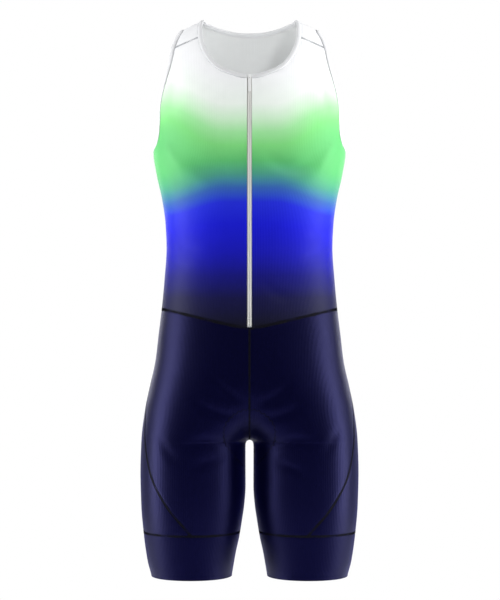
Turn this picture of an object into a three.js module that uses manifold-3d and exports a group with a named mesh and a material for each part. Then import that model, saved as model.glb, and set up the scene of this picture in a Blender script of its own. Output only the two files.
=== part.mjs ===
// A sleeveless triathlon suit with a front zip and thigh-length legs, filled out as if worn, with its
// neck, armholes and legs open. Millimetres, +Z up, the front faces -Y, the wearer's left is +X.
// The origin is where the suit hangs from the shoulders: at the height of the neck points, mid-depth.
import * as THREE from "three";
import { mergeVertices } from "three/addons/utils/BufferGeometryUtils.js";
import Module from "manifold-3d";

const wasm = await Module();
wasm.setup();

// Levels of the garment, as heights.
const CHEST_Z = -222; // the widest level, where the shoulder arch starts
const WAIST_SEAM_Z = -489; // at the side
// How far the waist seam drops to the centre, the curve of that drop, and how much its point is rounded.
const WAIST_DIP = { front: 30.5, back: 5, power: 1.1, rounding: 0.02 };
const CROTCH_Z = -711;
const BAND_SEAM_Z = -866;
const HEM_Z = -941;

// Cloth and trim.
const CLOTH = 1.5;
const SEAM_GAP = 0.3;
const BINDING_WIDTH = 8;
const BINDING_LIFT = 0.6; // how far a binding stands above the panels
const BINDING_DEPTH = 1.8;

// Girth sections from the chest down. halfWidth is the outer side, front and back are the depths from
// the mid-plane, and squareness is the exponent of the rounded section.
const SECTIONS = [
  { z: CHEST_Z, halfWidth: 163.2, front: 116, back: 104, squareness: 2.7 },
  { z: -262, halfWidth: 157.5, front: 114, back: 102, squareness: 2.6 },
  { z: -303, halfWidth: 148.4, front: 108, back: 97, squareness: 2.5 },
  { z: -344, halfWidth: 142.8, front: 101, back: 92, squareness: 2.45 },
  { z: -385, halfWidth: 141, front: 97, back: 90, squareness: 2.4 },
  { z: -439, halfWidth: 144.5, front: 97, back: 95, squareness: 2.4 },
  { z: -489, halfWidth: 149.2, front: 99, back: 103, squareness: 2.4 },
  { z: -534, halfWidth: 154.7, front: 101, back: 111, squareness: 2.4 },
  { z: -575, halfWidth: 159.6, front: 102, back: 117, squareness: 2.4 },
  { z: -616, halfWidth: 168.2, front: 102, back: 120, squareness: 2.4 },
  { z: -657, halfWidth: 177, front: 100, back: 116, squareness: 2.35 },
  { z: CROTCH_Z, halfWidth: 183.6, front: 96, back: 104, squareness: 2.3 },
  { z: -765, halfWidth: 185.3, front: 92, back: 96, squareness: 2.25 },
  { z: -820, halfWidth: 184, front: 87, back: 91, squareness: 2.2 },
  { z: BAND_SEAM_Z, halfWidth: 180.2, front: 81, back: 86, squareness: 2.15 },
  { z: -915, halfWidth: 173.4, front: 75, back: 80, squareness: 2.1 },
  { z: HEM_Z, halfWidth: 166.5, front: 72, back: 77, squareness: 2.1 },
];

// A section is rounded over CREASE where it meets the middle plane. inner is a leg's inner side before
// that rounding, so it is a little more than half the gap between the legs.
const CREASE = 8;
const LEG_INNER = [
  { z: CROTCH_Z, inner: CREASE },
  { z: -713, inner: 9.4 },
  { z: -716, inner: 10.3 },
  { z: -724, inner: 10.6 },
  { z: -790, inner: 10.5 },
  { z: -820, inner: 12 },
  { z: -847, inner: 15.1 },
  { z: -875, inner: 19.2 },
  { z: -902, inner: 24.7 },
  { z: HEM_Z, inner: 31.2 },
];
// Above the crotch the two legs grow into one section over this height.
const LEGS_JOIN_HEIGHT = 200;
const LEGS_JOIN_POWER = 2.1;

// The shoulder ridge: its height at the centre line, its outer slope and how soon it bends to that slope.
const RIDGE = { y: 12, height: 25, slope: 0.56, bend: 60 };
// How full the front and back are between the chest line and the ridge, where 1 is an ellipse.
const ARCH_FULLNESS = { front: 0.6, back: 0.85 };

// Edges of the panels, where a binding starts, as points on one face of the suit.
const ZIP_HALF = 4.15; // from the centre line to a front panel's zip edge
const SHOULDER_SEAM = [
  { x: 86.8, z: -31 },
  { x: 125.9, z: -47.4 },
];
const NECK_FRONT = [
  { x: ZIP_HALF, z: -106.3 },
  { x: 29.6, z: -100.8 },
  { x: 56.2, z: -86.4 },
  { x: 72.7, z: -64.6 },
  { x: 83.2, z: -46 },
  { x: 86.8, z: -31 },
];
const NECK_BACK = [
  { x: 0, z: -19.5 },
  { x: 30, z: -18.4 },
  { x: 55, z: -16 },
  { x: 74, z: -13 },
  { x: 84.5, z: -9.5 },
  { x: 88.6, z: -11, over: true },
  { x: 86.8, z: -31, over: true },
];
const ARMHOLE_FRONT = [
  { x: 163.2, z: -226 },
  { x: 157, z: -216 },
  { x: 151.5, z: -200 },
  { x: 149.5, z: -178 },
  { x: 149, z: -154 },
  { x: 146, z: -133.5 },
  { x: 139.4, z: -106.6 },
  { x: 131.6, z: -77.6 },
  { x: 125.9, z: -47.4 },
];
const ARMHOLE_BACK = [
  { x: 163.2, z: -226 },
  { x: 157.5, z: -219 },
  { x: 150.5, z: -204 },
  { x: 144, z: -181 },
  { x: 138, z: -154 },
  { x: 130.5, z: -124 },
  { x: 122.5, z: -93 },
  { x: 115.5, z: -60 },
  { x: 111.8, z: -32 },
  { x: 114.5, z: -19, over: true },
  { x: 120, z: -30, over: true },
  { x: 125.9, z: -47.4, over: true },
];
// The hammock line that parts a torso panel's body from its strap: how far it is pulled across and down
// from its ends at the neck and at the armhole.
const HAMMOCK = {
  front: { across: 62, down: 62 },
  back: { across: 80, down: 167 },
  armhole: { across: 68, down: 66 },
};
const QUARTER_GIRTH = 215; // from the centre line to the side at the chest, for even spacing

// The curved seam of the shorts: share is the distance from the leg's middle to its outer side.
const LEG_SEAM = [
  { z: -600, share: 1 },
  { z: -640, share: 0.995 },
  { z: -672, share: 0.965 },
  { z: -705, share: 0.915 },
  { z: -733, share: 0.86 },
  { z: -764, share: 0.775 },
  { z: -782, share: 0.695 },
  { z: -804, share: 0.56 },
  { z: -829, share: 0.36 },
  { z: -850, share: 0.14 },
  { z: BAND_SEAM_Z, share: -0.03 },
];

// Zip: lengths are measured down from the neck's free edge, lifts out from the cloth's outer face.
const TAPE = { inner: 0.5, outer: 11, top: 4.6, lift: -2.9, thickness: 0.8 };
const COIL = { half: 2, lift: -1.8, thickness: 1.6 };
const ZIP_END = 1.2; // above the waist seam
const ZIP_STOP = { half: 3.6, height: 1.6, lift: 0.15, thickness: 0.9, above: 15 };
// The slider's front plate and back plate are joined by a post behind its upper end.
const SLIDER = {
  half: 2.9,
  top: 1.5,
  bottom: 12.5,
  lift: 0.1,
  plate: 1.4,
  bevel: 1,
  bevelDepth: 0.4,
  back: -4.3,
  backPlate: 0.9,
  post: 2.6,
};
const BRIDGE = {
  half: 1,
  top: 2.6,
  bottom: 8.6,
  leg: 0.9,
  rise: 2.8,
  crown: 0.8,
  corner: 0.9,
  fillet: 0.4,
};
const PULL = { half: 2.4, bar: 1.1, pivot: 5.6, shoulder: 3.9, length: 28.5, arm: 1, roundSteps: 8 };
const RUNNING_GAP = 0.55; // between the pull's bar and the slider's front plate

// Seat pad: how far it reaches round the cloth from the centre line, or from a leg's inseam.
const PAD = { thickness: 5, clear: 0.6, firstRow: 5, lastRow: 13 };
const PAD_REACH = [
  { z: -640, front: 6, back: 30 },
  { z: -663, front: 14, back: 48 },
  { z: -680, front: 40, back: 62 },
  { z: -694, front: 58, back: 76 },
  { z: -703, front: 72, back: 88 },
  { z: CROTCH_Z, front: 88, back: 100 },
  { z: -720, front: 80, back: 90 },
  { z: -732, front: 62, back: 66 },
  { z: -750, front: 28, back: 30 },
];

// Grid steps.
const TORSO_COLUMNS = 10;
const BODY_ROWS = 11;
const STRAP_ROWS = 14;
const HIP_ROWS = 10;
const THIGH_ROWS = 7;
const BACK_COLUMNS = 13;
const BAND_COLUMNS = 26;
const BAND_ROWS = 3;
const THIGH_GATHER = 0.8; // how much the rows below the crotch gather to it, against those above
const SEAM_ROUNDS = 8; // enough to settle where a curved seam crosses a bowed row
const WELD_STEP = 0.005; // corners nearer than this are one
const MITRE_LIMIT = 0.4;

const vec = (x, y, z) => new THREE.Vector3(x, y, z);
const mix = (a, b, t) => a + (b - a) * t;
const range = (count) => Array.from({ length: count + 1 }, (_, i) => i / count);

// A smooth curve through the rows of a table, read down one column. It keeps to the table's own highs
// and lows, and it starts level where startLevel is true.
function smooth(rows, at, key, startLevel = false) {
  const x = rows.map((row) => row[at]);
  const y = rows.map((row) => row[key]);
  const chord = x.slice(1).map((v, i) => (y[i + 1] - y[i]) / (v - x[i]));
  const slope = x.map((_, i) => {
    if (i === 0) return startLevel ? 0 : chord[0];
    if (i === x.length - 1) return chord[i - 1];
    return chord[i - 1] * chord[i] <= 0
      ? 0
      : (2 * chord[i - 1] * chord[i]) / (chord[i - 1] + chord[i]);
  });
  const sign = Math.sign(x[x.length - 1] - x[0]);
  return (v) => {
    let i = 0;
    while (i < x.length - 2 && (v - x[i + 1]) * sign > 0) i++;
    const step = x[i + 1] - x[i];
    const t = Math.min(1, Math.max(0, (v - x[i]) / step));
    const end = 3 * t * t - 2 * t * t * t;
    return (
      y[i] * (1 - end) +
      y[i + 1] * end +
      step * t * (1 - t) * (slope[i] * (1 - t) - slope[i + 1] * t)
    );
  };
}

const girth = Object.fromEntries(
  ["halfWidth", "front", "back", "squareness"].map((key) => [
    key,
    smooth(SECTIONS, "z", key, true),
  ]),
);
const legInner = smooth(LEG_INNER, "z", "inner");
const legSeam = smooth(LEG_SEAM, "z", "share", true);

// The section at one height: where its middle lies, its half width, depths and squareness.
function section(z) {
  const halfWidth = girth.halfWidth(z);
  let inner;
  if (z <= CROTCH_Z) inner = legInner(z);
  else {
    const base = CREASE / halfWidth;
    const left = Math.max(0, 1 - (z - CROTCH_Z) / LEGS_JOIN_HEIGHT);
    const share = (1 + base) * left ** LEGS_JOIN_POWER - base;
    inner = (2 * (share * halfWidth + CREASE)) / (1 + share) - halfWidth;
  }
  return {
    middle: (halfWidth + inner) / 2,
    half: (halfWidth - inner) / 2,
    front: girth.front(z),
    back: girth.back(z),
    n: girth.squareness(z),
  };
}

// The angle from the outer side round to where a section meets the centre line, or right round a leg.
function ringEnd(c) {
  const share = (CREASE - c.middle) / c.half;
  if (share <= -1) return Math.PI;
  return Math.atan2((1 - Math.abs(share) ** c.n) ** (1 / c.n), share);
}

// A point of the section: w runs from 0 at the centre line, or the leg's inner side, to 1 at the side.
function ringPoint(c, face, w) {
  const angle = ringEnd(c) * (1 - w);
  const [along, across] = [Math.cos(angle), Math.sin(angle)];
  const reach = (Math.abs(along) ** c.n + Math.abs(across) ** c.n) ** (-1 / c.n);
  const s = c.middle + c.half * along * reach;
  return {
    x: Math.sqrt(Math.max(0, s * s - CREASE * CREASE)),
    y: (face === "front" ? -c.front : c.back) * across * reach,
  };
}

const CHEST = section(CHEST_Z);
const ridgeZ = (x) => RIDGE.height - RIDGE.slope * (Math.hypot(x, RIDGE.bend) - RIDGE.bend);
const archHeight = (x) => ridgeZ(x) - CHEST_Z;
const otherFace = (face) => (face === "front" ? "back" : "front");

// A point of the suit's outer face on the wearer's left half. h is the height below the chest line, and
// above it the distance along the arch, which can go over the ridge to the other face.
function surface(face, w, h) {
  if (h <= CHEST_Z) {
    const p = ringPoint(section(h), face, w);
    return vec(p.x, p.y, h);
  }
  const x = ringPoint(CHEST, face, w).x;
  const height = archHeight(x);
  const angle = (h - CHEST_Z) / height;
  const on = angle > Math.PI / 2 ? otherFace(face) : face;
  const c = Math.abs(Math.cos(angle));
  const full = ARCH_FULLNESS[on];
  const y = ringPoint(CHEST, on, w).y;
  return vec(
    x,
    RIDGE.y + (y - RIDGE.y) * (full * c + (1 - full) * c ** 3),
    CHEST_Z + height * Math.sin(angle),
  );
}

// Below the chest line: 0 on the outer face, more outside it and less inside.
function shellValue(p) {
  const c = section(p.z);
  const s = Math.hypot(p.x, CREASE);
  return (
    (Math.abs(s - c.middle) / c.half) ** c.n +
    (Math.abs(p.y) / (p.y < 0 ? c.front : c.back)) ** c.n -
    1
  );
}

const PROBE = 0.05;
function shellNormal(p) {
  const slope = ["x", "y", "z"].map((axis) => {
    const [a, b] = [p.clone(), p.clone()];
    a[axis] += PROBE;
    b[axis] -= PROBE;
    return shellValue(a) - shellValue(b);
  });
  return vec(...slope);
}

function normal(face, w, h) {
  if (h <= CHEST_Z) return shellNormal(surface(face, w, h)).normalize();
  const [dw, dh] = [1e-3, 0.2];
  const across = surface(face, Math.min(1, w + dw), h).sub(surface(face, Math.max(0, w - dw), h));
  const up = surface(face, w, h + dh).sub(surface(face, w, Math.max(CHEST_Z, h - dh)));
  const out = across.cross(up).normalize();
  return face === "front" ? out : out.negate();
}

// Where a point of an edge table lies on the outer face, as w and h.
function place({ x, z, over }) {
  const s = Math.hypot(x, CREASE) / CHEST.half;
  const angle = s >= 1 ? 0 : Math.atan2((1 - s ** CHEST.n) ** (1 / CHEST.n), s);
  const w = 1 - angle / ringEnd(CHEST);
  if (z <= CHEST_Z) return { w, h: z };
  const height = archHeight(x);
  const rise = Math.asin(Math.min(1, (z - CHEST_Z) / height));
  return { w, h: CHEST_Z + height * (over ? Math.PI - rise : rise) };
}

// A smooth line through places, evenly spaced by its length and level at its start, as a function from
// 0 to 1.
function lineThrough(places) {
  const flat = places.map((p) => ({ x: p.w * QUARTER_GIRTH, y: p.h }));
  let total = 0;
  const rows = flat.map((p, i) => {
    if (i) total += Math.hypot(p.x - flat[i - 1].x, p.y - flat[i - 1].y);
    return { t: total, ...p };
  });
  const count = rows.length;
  const tangent = rows.map((_, i) => {
    const [a, b] = [rows[Math.max(0, i - 1)], rows[Math.min(count - 1, i + 1)]];
    const turn = { x: (b.x - a.x) / (b.t - a.t), y: (b.y - a.y) / (b.t - a.t) };
    return i === 0 ? { x: Math.sign(turn.x), y: 0 } : turn;
  });
  const at = (t) => {
    let i = 0;
    while (i < count - 2 && t > rows[i + 1].t) i++;
    const step = rows[i + 1].t - rows[i].t;
    const k = (t - rows[i].t) / step;
    const [b0, b1] = [(1 + 2 * k) * (1 - k) ** 2, k * k * (3 - 2 * k)];
    const [m0, m1] = [k * (1 - k) ** 2 * step, -k * k * (1 - k) * step];
    const value = (key) =>
      rows[i][key] * b0 + rows[i + 1][key] * b1 + tangent[i][key] * m0 + tangent[i + 1][key] * m1;
    return { w: value("x") / QUARTER_GIRTH, h: value("y") };
  };
  return (share) => at(Math.min(1, Math.max(0, share)) * total);
}

const lerpPlace = (a, b, t) => ({ w: mix(a.w, b.w, t), h: mix(a.h, b.h, t) });

// A patch between four edges in w and h.
function coons(bottom, top, left, right) {
  return (s, t) => {
    const value = (key) =>
      mix(bottom(s)[key], top(s)[key], t) +
      mix(left(t)[key], right(t)[key], s) -
      mix(mix(bottom(0)[key], bottom(1)[key], s), mix(top(0)[key], top(1)[key], s), t);
    return { w: value("w"), h: value("h") };
  };
}

// The waist seam dips to the centre line.
function waistSeam(face, w) {
  const share = ringPoint(section(WAIST_SEAM_Z), face, w).x / girth.halfWidth(WAIST_SEAM_Z);
  const rise = Math.max(0, 1 - Math.hypot(share, WAIST_DIP.rounding));
  return WAIST_SEAM_Z - WAIST_DIP[face] * rise ** WAIST_DIP.power;
}

// The place on the front where a front panel's zip edge lies at a height.
function zipPlace(h) {
  const c = section(Math.min(h, CHEST_Z));
  const share = (Math.hypot(ZIP_HALF, CREASE) - c.middle) / c.half;
  return 1 - Math.atan2((1 - Math.abs(share) ** c.n) ** (1 / c.n), share) / ringEnd(c);
}

// A corner of the cloth: where it lies, and the direction out of the cloth.
const vertex = (face, w, h) => ({ p: surface(face, w, h), n: normal(face, w, h) });
const mirrored = (v) => ({ p: vec(-v.p.x, v.p.y, v.p.z), n: vec(-v.n.x, v.n.y, v.n.z) });

// A grid of vertices with its columns running to the right as seen from outside, and rows running up.
const grid = (columns, rows, at) => range(rows).map((t) => range(columns).map((s) => at(s, t)));
const mirrorGrid = (patch) => patch.map((row) => row.map(mirrored).reverse());

// A closed wall of cloth over some grids that share their edges. Its outer face lies lift above the
// vertices, and every edge is drawn in by half a seam's gap.
function clothSolid(patches, { thickness = CLOTH, lift = 0, gap = SEAM_GAP } = {}) {
  const keys = new Map();
  const points = [];
  const faces = [];
  const indexOf = (v) => {
    const key = [v.p.x, v.p.y, v.p.z].map((c) => Math.round(c / WELD_STEP)).join();
    if (!keys.has(key)) keys.set(key, points.push({ p: v.p.clone(), n: v.n.clone() }) - 1);
    return keys.get(key);
  };
  for (const patch of patches)
    for (let r = 0; r < patch.length - 1; r++)
      for (let c = 0; c < patch[r].length - 1; c++) {
        const [a, b, d, e] = [patch[r][c], patch[r][c + 1], patch[r + 1][c + 1], patch[r + 1][c]].map(
          indexOf,
        );
        const falling = points[a].p.distanceTo(points[d].p) > points[b].p.distanceTo(points[e].p);
        const pair = falling ? [[a, b, e], [b, d, e]] : [[a, b, d], [a, d, e]];
        for (const f of pair) if (new Set(f).size === 3) faces.push(f);
      }
  const edges = new Map();
  for (const f of faces) f.forEach((v, i) => edges.set(`${v},${f[(i + 1) % 3]}`, [v, f[(i + 1) % 3]]));
  const rim = [...edges.values()].filter(([a, b]) => !edges.has(`${b},${a}`));
  const inwards = new Map();
  for (const [a, b] of rim)
    for (const v of [a, b]) {
      const along = points[b].p.clone().sub(points[a].p);
      const inward = points[v].n.clone().cross(along).normalize();
      inwards.set(v, [...(inwards.get(v) || []), inward]);
    }
  for (const [v, sides] of inwards) {
    const sum = sides[0].clone().add(sides[1]);
    const shift = sum.multiplyScalar(gap / 2 / Math.max(MITRE_LIMIT, 1 + sides[0].dot(sides[1])));
    points[v].p.add(shift);
  }
  const outer = points.map(({ p, n }) => p.clone().addScaledVector(n, lift));
  const inner = points.map(({ p, n }) => p.clone().addScaledVector(n, lift - thickness));
  const count = points.length;
  const triangles = faces.concat(faces.map(([a, b, c]) => [a + count, c + count, b + count]));
  for (const [a, b] of rim) triangles.push([a, a + count, b + count], [a, b + count, b]);
  return solid([...outer, ...inner], triangles);
}

function solid(points, triangles) {
  const geometry = new THREE.BufferGeometry().setFromPoints(points);
  geometry.setIndex(triangles.flat());
  geometry.computeVertexNormals();
  return geometry;
}

// A strip swept along stations: each has a point, an outward normal and a sideways direction, and the
// profile's points give how far across and how far out they lie.
function strip(stations, profile, closed) {
  const points = stations.flatMap((s) =>
    profile.map(([across, out]) =>
      s.p.clone().addScaledVector(s.side, across).addScaledVector(s.n, out),
    ),
  );
  const sides = profile.length;
  const triangles = [];
  const last = closed ? stations.length : stations.length - 1;
  for (let i = 0; i < last; i++)
    for (let k = 0; k < sides; k++) {
      const j = (i + 1) % stations.length;
      const next = (k + 1) % sides;
      const [a, b, c, d] = [i * sides + k, i * sides + next, j * sides + next, j * sides + k];
      triangles.push([a, b, c], [a, c, d]);
    }
  if (!closed)
    for (let k = 1; k < sides - 1; k++) {
      const end = (stations.length - 1) * sides;
      triangles.push([0, k + 1, k], [end, end + k, end + k + 1]);
    }
  return outwards(solid(points, triangles));
}

// Turns a closed geometry's faces round if they point in.
function outwards(geometry) {
  const index = geometry.index.array;
  const at = geometry.getAttribute("position");
  const corner = (i) => vec(0, 0, 0).fromBufferAttribute(at, index[i]);
  let volume = 0;
  for (let i = 0; i < index.length; i += 3)
    volume += corner(i).dot(corner(i + 1).cross(corner(i + 2)));
  if (volume < 0)
    for (let i = 0; i < index.length; i += 3)
      [index[i + 1], index[i + 2]] = [index[i + 2], index[i + 1]];
  return geometry;
}

// Torso front: its edges in w and h, then the patches of the wearer's left half.
const neckFront = lineThrough(NECK_FRONT.map(place));
const neckBack = lineThrough(NECK_BACK.map(place));
const armholeFront = lineThrough(ARMHOLE_FRONT.map(place));
const armholeBack = lineThrough(ARMHOLE_BACK.map(place));
const seamPlace = (over) => (t) =>
  place({
    x: mix(SHOULDER_SEAM[0].x, SHOULDER_SEAM[1].x, t),
    z: mix(SHOULDER_SEAM[0].z, SHOULDER_SEAM[1].z, t),
    over,
  });

function hammock(face, from, to) {
  const [neck, side] = [HAMMOCK[face], HAMMOCK.armhole];
  const a = { w: from.w + neck.across / QUARTER_GIRTH, h: from.h - neck.down };
  const b = { w: to.w - side.across / QUARTER_GIRTH, h: to.h - side.down };
  return (t) =>
    lerpPlace(
      lerpPlace(lerpPlace(from, a, t), lerpPlace(a, b, t), t),
      lerpPlace(lerpPlace(a, b, t), lerpPlace(b, to, t), t),
      t,
    );
}

// A torso panel's body runs from the waist seam up to the hammock line, and its strap from there to the
// shoulder seam. The first column keeps to the zip, or to the centre line at the back.
function torsoPatches(face, neck, armhole, over) {
  const line = hammock(face, neck(0), armhole(0));
  const edge = (h) => (face === "front" ? zipPlace(h) : 0);
  const body = (s, t) => {
    const w = mix(ZIP_SHARE[face], 1, s);
    const low = { w, h: waistSeam(face, w) };
    const zip = lerpPlace({ w: ZIP_SHARE[face], h: waistSeam(face, ZIP_SHARE[face]) }, line(0), t);
    const q = lerpPlace(low, line(s), t);
    return { w: q.w + (edge(zip.h) - zip.w) * (1 - s), h: q.h };
  };
  const strap = coons(line, seamPlace(over), neck, armhole);
  const at = (patch) => (s, t) => {
    const q = patch(face === "front" ? s : 1 - s, t);
    return vertex(face, q.w, q.h);
  };
  return [grid(TORSO_COLUMNS, BODY_ROWS, at(body)), grid(TORSO_COLUMNS, STRAP_ROWS, at(strap))];
}
const ZIP_SHARE = { front: zipPlace(WAIST_SEAM_Z - WAIST_DIP.front), back: 0 };
const frontPatches = torsoPatches("front", neckFront, armholeFront, false);
const backPatches = torsoPatches("back", neckBack, armholeBack, true);

// Shorts: u runs round a leg's half of the suit, 0 at the centre front or the leg's inner side, half at
// the outer side and 1 at the centre back or the inner side again.
const faceOf = (u) => (u < 0.5 ? "front" : "back");
const wOf = (u) => (u < 0.5 ? 2 * u : 2 - 2 * u);

// Rows gather towards the crotch near the centre line, where the cloth turns under.
function rowZ(u, row) {
  const gather = (1 - wOf(u)) ** 2;
  const share = row <= HIP_ROWS ? row / HIP_ROWS : (row - HIP_ROWS) / THIGH_ROWS;
  const bow = gather * share * (1 - share);
  return row <= HIP_ROWS
    ? mix(waistSeam(faceOf(u), wOf(u)), CROTCH_Z, share + bow)
    : mix(CROTCH_Z, BAND_SEAM_Z, share - THIGH_GATHER * bow);
}

function seamU(z) {
  const c = section(z);
  const share = legSeam(z);
  const across = (1 - Math.abs(share) ** c.n) ** (1 / c.n);
  return (1 - Math.atan2(across, share) / ringEnd(c)) / 2;
}

function seamOfRow(row) {
  let u = 0.5;
  for (let i = 0; i < SEAM_ROUNDS; i++) u = seamU(rowZ(u, row));
  return u;
}

function shortsPatch(shares, from, to) {
  const rows = HIP_ROWS + THIGH_ROWS;
  return range(rows).map((_, r) => {
    const row = rows - r;
    const [a, b] = [from(row), to(row)];
    return shares.map((s) => {
      const u = mix(a, b, s);
      return vertex(faceOf(u), wOf(u), rowZ(u, row));
    });
  });
}
// The front's columns meet those of the torso at the waist seam.
const frontShares = [0, ...range(TORSO_COLUMNS).map((s) => mix(ZIP_SHARE.front, 1, s))];
const shortsFront = shortsPatch(frontShares, () => 0, seamOfRow);
const shortsBack = shortsPatch(range(BACK_COLUMNS), seamOfRow, () => 1);
const legBand = grid(BAND_COLUMNS, BAND_ROWS, (u, t) =>
  vertex(faceOf(u), wOf(u), mix(HEM_Z, BAND_SEAM_Z, t)),
);

// Bindings follow the panels' edges. Each station is a vertex with a direction away from the panel.
function stationsAlong(vertices, closed) {
  const count = vertices.length;
  return vertices.map((v, i) => {
    const before = vertices[closed ? (i + count - 1) % count : Math.max(0, i - 1)];
    const after = vertices[closed ? (i + 1) % count : Math.min(count - 1, i + 1)];
    const side = v.n.clone().cross(after.p.clone().sub(before.p)).normalize();
    return { ...v, side };
  });
}
// The binding's section, as how far each corner lies away from the panel and out of the cloth.
const BINDING_PROFILE = [
  [SEAM_GAP, -BINDING_DEPTH],
  [SEAM_GAP, BINDING_LIFT * 0.6],
  [1.2, BINDING_LIFT],
  [BINDING_WIDTH - 1.4, BINDING_LIFT - 0.1],
  [BINDING_WIDTH, -0.5],
  [BINDING_WIDTH - 0.6, -BINDING_DEPTH],
];
// The stations lie at the strap's rows, so that a binding and its panel keep the same corners.
const edgeStations = (face, line) =>
  range(STRAP_ROWS).map((t) => {
    const q = line(t);
    return vertex(face, q.w, q.h);
  });

function neckBinding() {
  const front = edgeStations("front", neckFront);
  const back = edgeStations("back", neckBack).reverse();
  const left = [...front, ...back.slice(1)];
  const right = left.slice(0, -1).map(mirrored).reverse();
  return strip(stationsAlong([...left, ...right], false), BINDING_PROFILE, false);
}

function armholeBinding() {
  const front = edgeStations("front", armholeFront).reverse();
  const back = edgeStations("back", armholeBack);
  return strip(stationsAlong([...front, ...back.slice(1, -1)], true), BINDING_PROFILE, true);
}

// The centre front line from the neck's free edge down, by its length, with corners at the torso's rows.
const frontLine = (() => {
  const [top, bottom] = [neckFront(0).h, waistSeam("front", ZIP_SHARE.front)];
  const heights = [top + BINDING_WIDTH, ...range(BODY_ROWS).map((t) => mix(top, bottom, t))];
  let length = 0;
  const marks = heights.map((h, i) => {
    const v = vertex("front", 0, h);
    v.n.setX(0).normalize();
    if (i) length += v.p.distanceTo(vertex("front", 0, heights[i - 1]).p);
    return { t: length, ...v };
  });
  const at = (t) => {
    let i = 0;
    while (i < marks.length - 2 && t > marks[i + 1].t) i++;
    const share = (t - marks[i].t) / (marks[i + 1].t - marks[i].t);
    return {
      p: marks[i].p.clone().lerp(marks[i + 1].p, share),
      n: marks[i].n.clone().lerp(marks[i + 1].n, share).normalize(),
    };
  };
  return { length, at, corners: marks.map((m) => m.t) };
})();

// A bar along the centre front, between two lengths and two values of x, as a box section.
function frontBar({ from, to, left, right, lift, thickness }) {
  const between = frontLine.corners.filter((t) => t > from && t < to);
  const stations = [from, ...between, to].map((t) => ({ ...frontLine.at(t), side: vec(1, 0, 0) }));
  const profile = [
    [left, lift],
    [right, lift],
    [right, lift + thickness],
    [left, lift + thickness],
  ];
  return strip(stations, profile, false);
}

// The slider and pull are flat pieces in the slider's own frame: across is +X, along is down the zip and
// out is away from the cloth.
const sliderSeat = frontLine.at((SLIDER.top + SLIDER.bottom) / 2);
const sliderMatrix = new THREE.Matrix4().makeBasis(
  vec(1, 0, 0),
  sliderSeat.n.clone().cross(vec(1, 0, 0)).negate(),
  sliderSeat.n.clone(),
);
const sliderMiddle = (SLIDER.top + SLIDER.bottom) / 2;
function inSliderFrame(geometry) {
  const { x, y, z } = sliderSeat.p;
  return outwards(geometry.applyMatrix4(sliderMatrix).translate(x, y, z));
}

const flatPoints = (outline) => outline.map(([x, y]) => new THREE.Vector2(x, y));

function extrude(shape, depth) {
  const geometry = new THREE.ExtrudeGeometry(shape, { depth, bevelEnabled: false });
  geometry.deleteAttribute("normal");
  geometry.deleteAttribute("uv");
  return mergeVertices(geometry, WELD_STEP);
}

// The slider from the side, as how far down from the slider's middle and how far out.
function sliderSolid() {
  const along = (t) => t - sliderMiddle;
  const plateTop = SLIDER.lift + SLIDER.plate;
  const side = [
    [along(SLIDER.bottom), SLIDER.lift],
    [along(SLIDER.bottom), plateTop - SLIDER.bevelDepth],
    [along(SLIDER.bottom) - SLIDER.bevel, plateTop],
    [along(SLIDER.top), plateTop],
    [along(SLIDER.top), SLIDER.back],
    [along(SLIDER.bottom), SLIDER.back],
    [along(SLIDER.bottom), SLIDER.back + SLIDER.backPlate],
    [along(SLIDER.top + SLIDER.post), SLIDER.back + SLIDER.backPlate],
    [along(SLIDER.top + SLIDER.post), SLIDER.lift],
  ];
  return sideProfile(side, SLIDER.half);
}

// Extrudes a side outline across x from -halfWidth to halfWidth.
function sideProfile(outline, halfWidth) {
  const geometry = extrude(new THREE.Shape(flatPoints(outline)), 2 * halfWidth);
  // The outline's x becomes along, its y becomes out and the extrusion becomes across.
  const turn = new THREE.Matrix4().makeBasis(vec(0, 1, 0), vec(0, 0, 1), vec(1, 0, 0));
  return geometry.translate(0, 0, -halfWidth).applyMatrix4(turn);
}

// The bridge over the pull's bar.
function bridgeSolid() {
  const along = (t) => t - sliderMiddle;
  const foot = SLIDER.lift + SLIDER.plate / 2;
  const top = SLIDER.lift + SLIDER.plate + BRIDGE.rise;
  const under = top - BRIDGE.crown;
  const [upper, lower] = [along(BRIDGE.top + BRIDGE.leg), along(BRIDGE.bottom - BRIDGE.leg)];
  const outline = [
    [along(BRIDGE.top), foot],
    [along(BRIDGE.top), top - BRIDGE.corner],
    [along(BRIDGE.top + BRIDGE.corner), top],
    [along(BRIDGE.bottom - BRIDGE.corner), top],
    [along(BRIDGE.bottom), top - BRIDGE.corner],
    [along(BRIDGE.bottom), foot],
    [lower, foot],
    [lower, under - BRIDGE.fillet],
    [lower - BRIDGE.fillet, under],
    [upper + BRIDGE.fillet, under],
    [upper, under - BRIDGE.fillet],
    [upper, foot],
  ];
  return sideProfile(outline, BRIDGE.half);
}

// Joins two closed geometries into one.
function join(one, other) {
  const [a, b] = [one, other].map((geometry) => {
    const { position } = geometry.attributes;
    const triVerts = new Uint32Array(geometry.index.array);
    return new wasm.Manifold(new wasm.Mesh({ numProp: 3, vertProperties: position.array, triVerts }));
  });
  const mesh = a.add(b).getMesh();
  const geometry = new THREE.BufferGeometry();
  geometry.setAttribute("position", new THREE.BufferAttribute(mesh.vertProperties, 3));
  geometry.setIndex(new THREE.BufferAttribute(mesh.triVerts, 1));
  return geometry;
}

// How far out of the cloth the pull's bar has its centre, which is the hinge.
const PULL_OUT = SLIDER.lift + SLIDER.plate + RUNNING_GAP + PULL.bar / 2;

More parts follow.
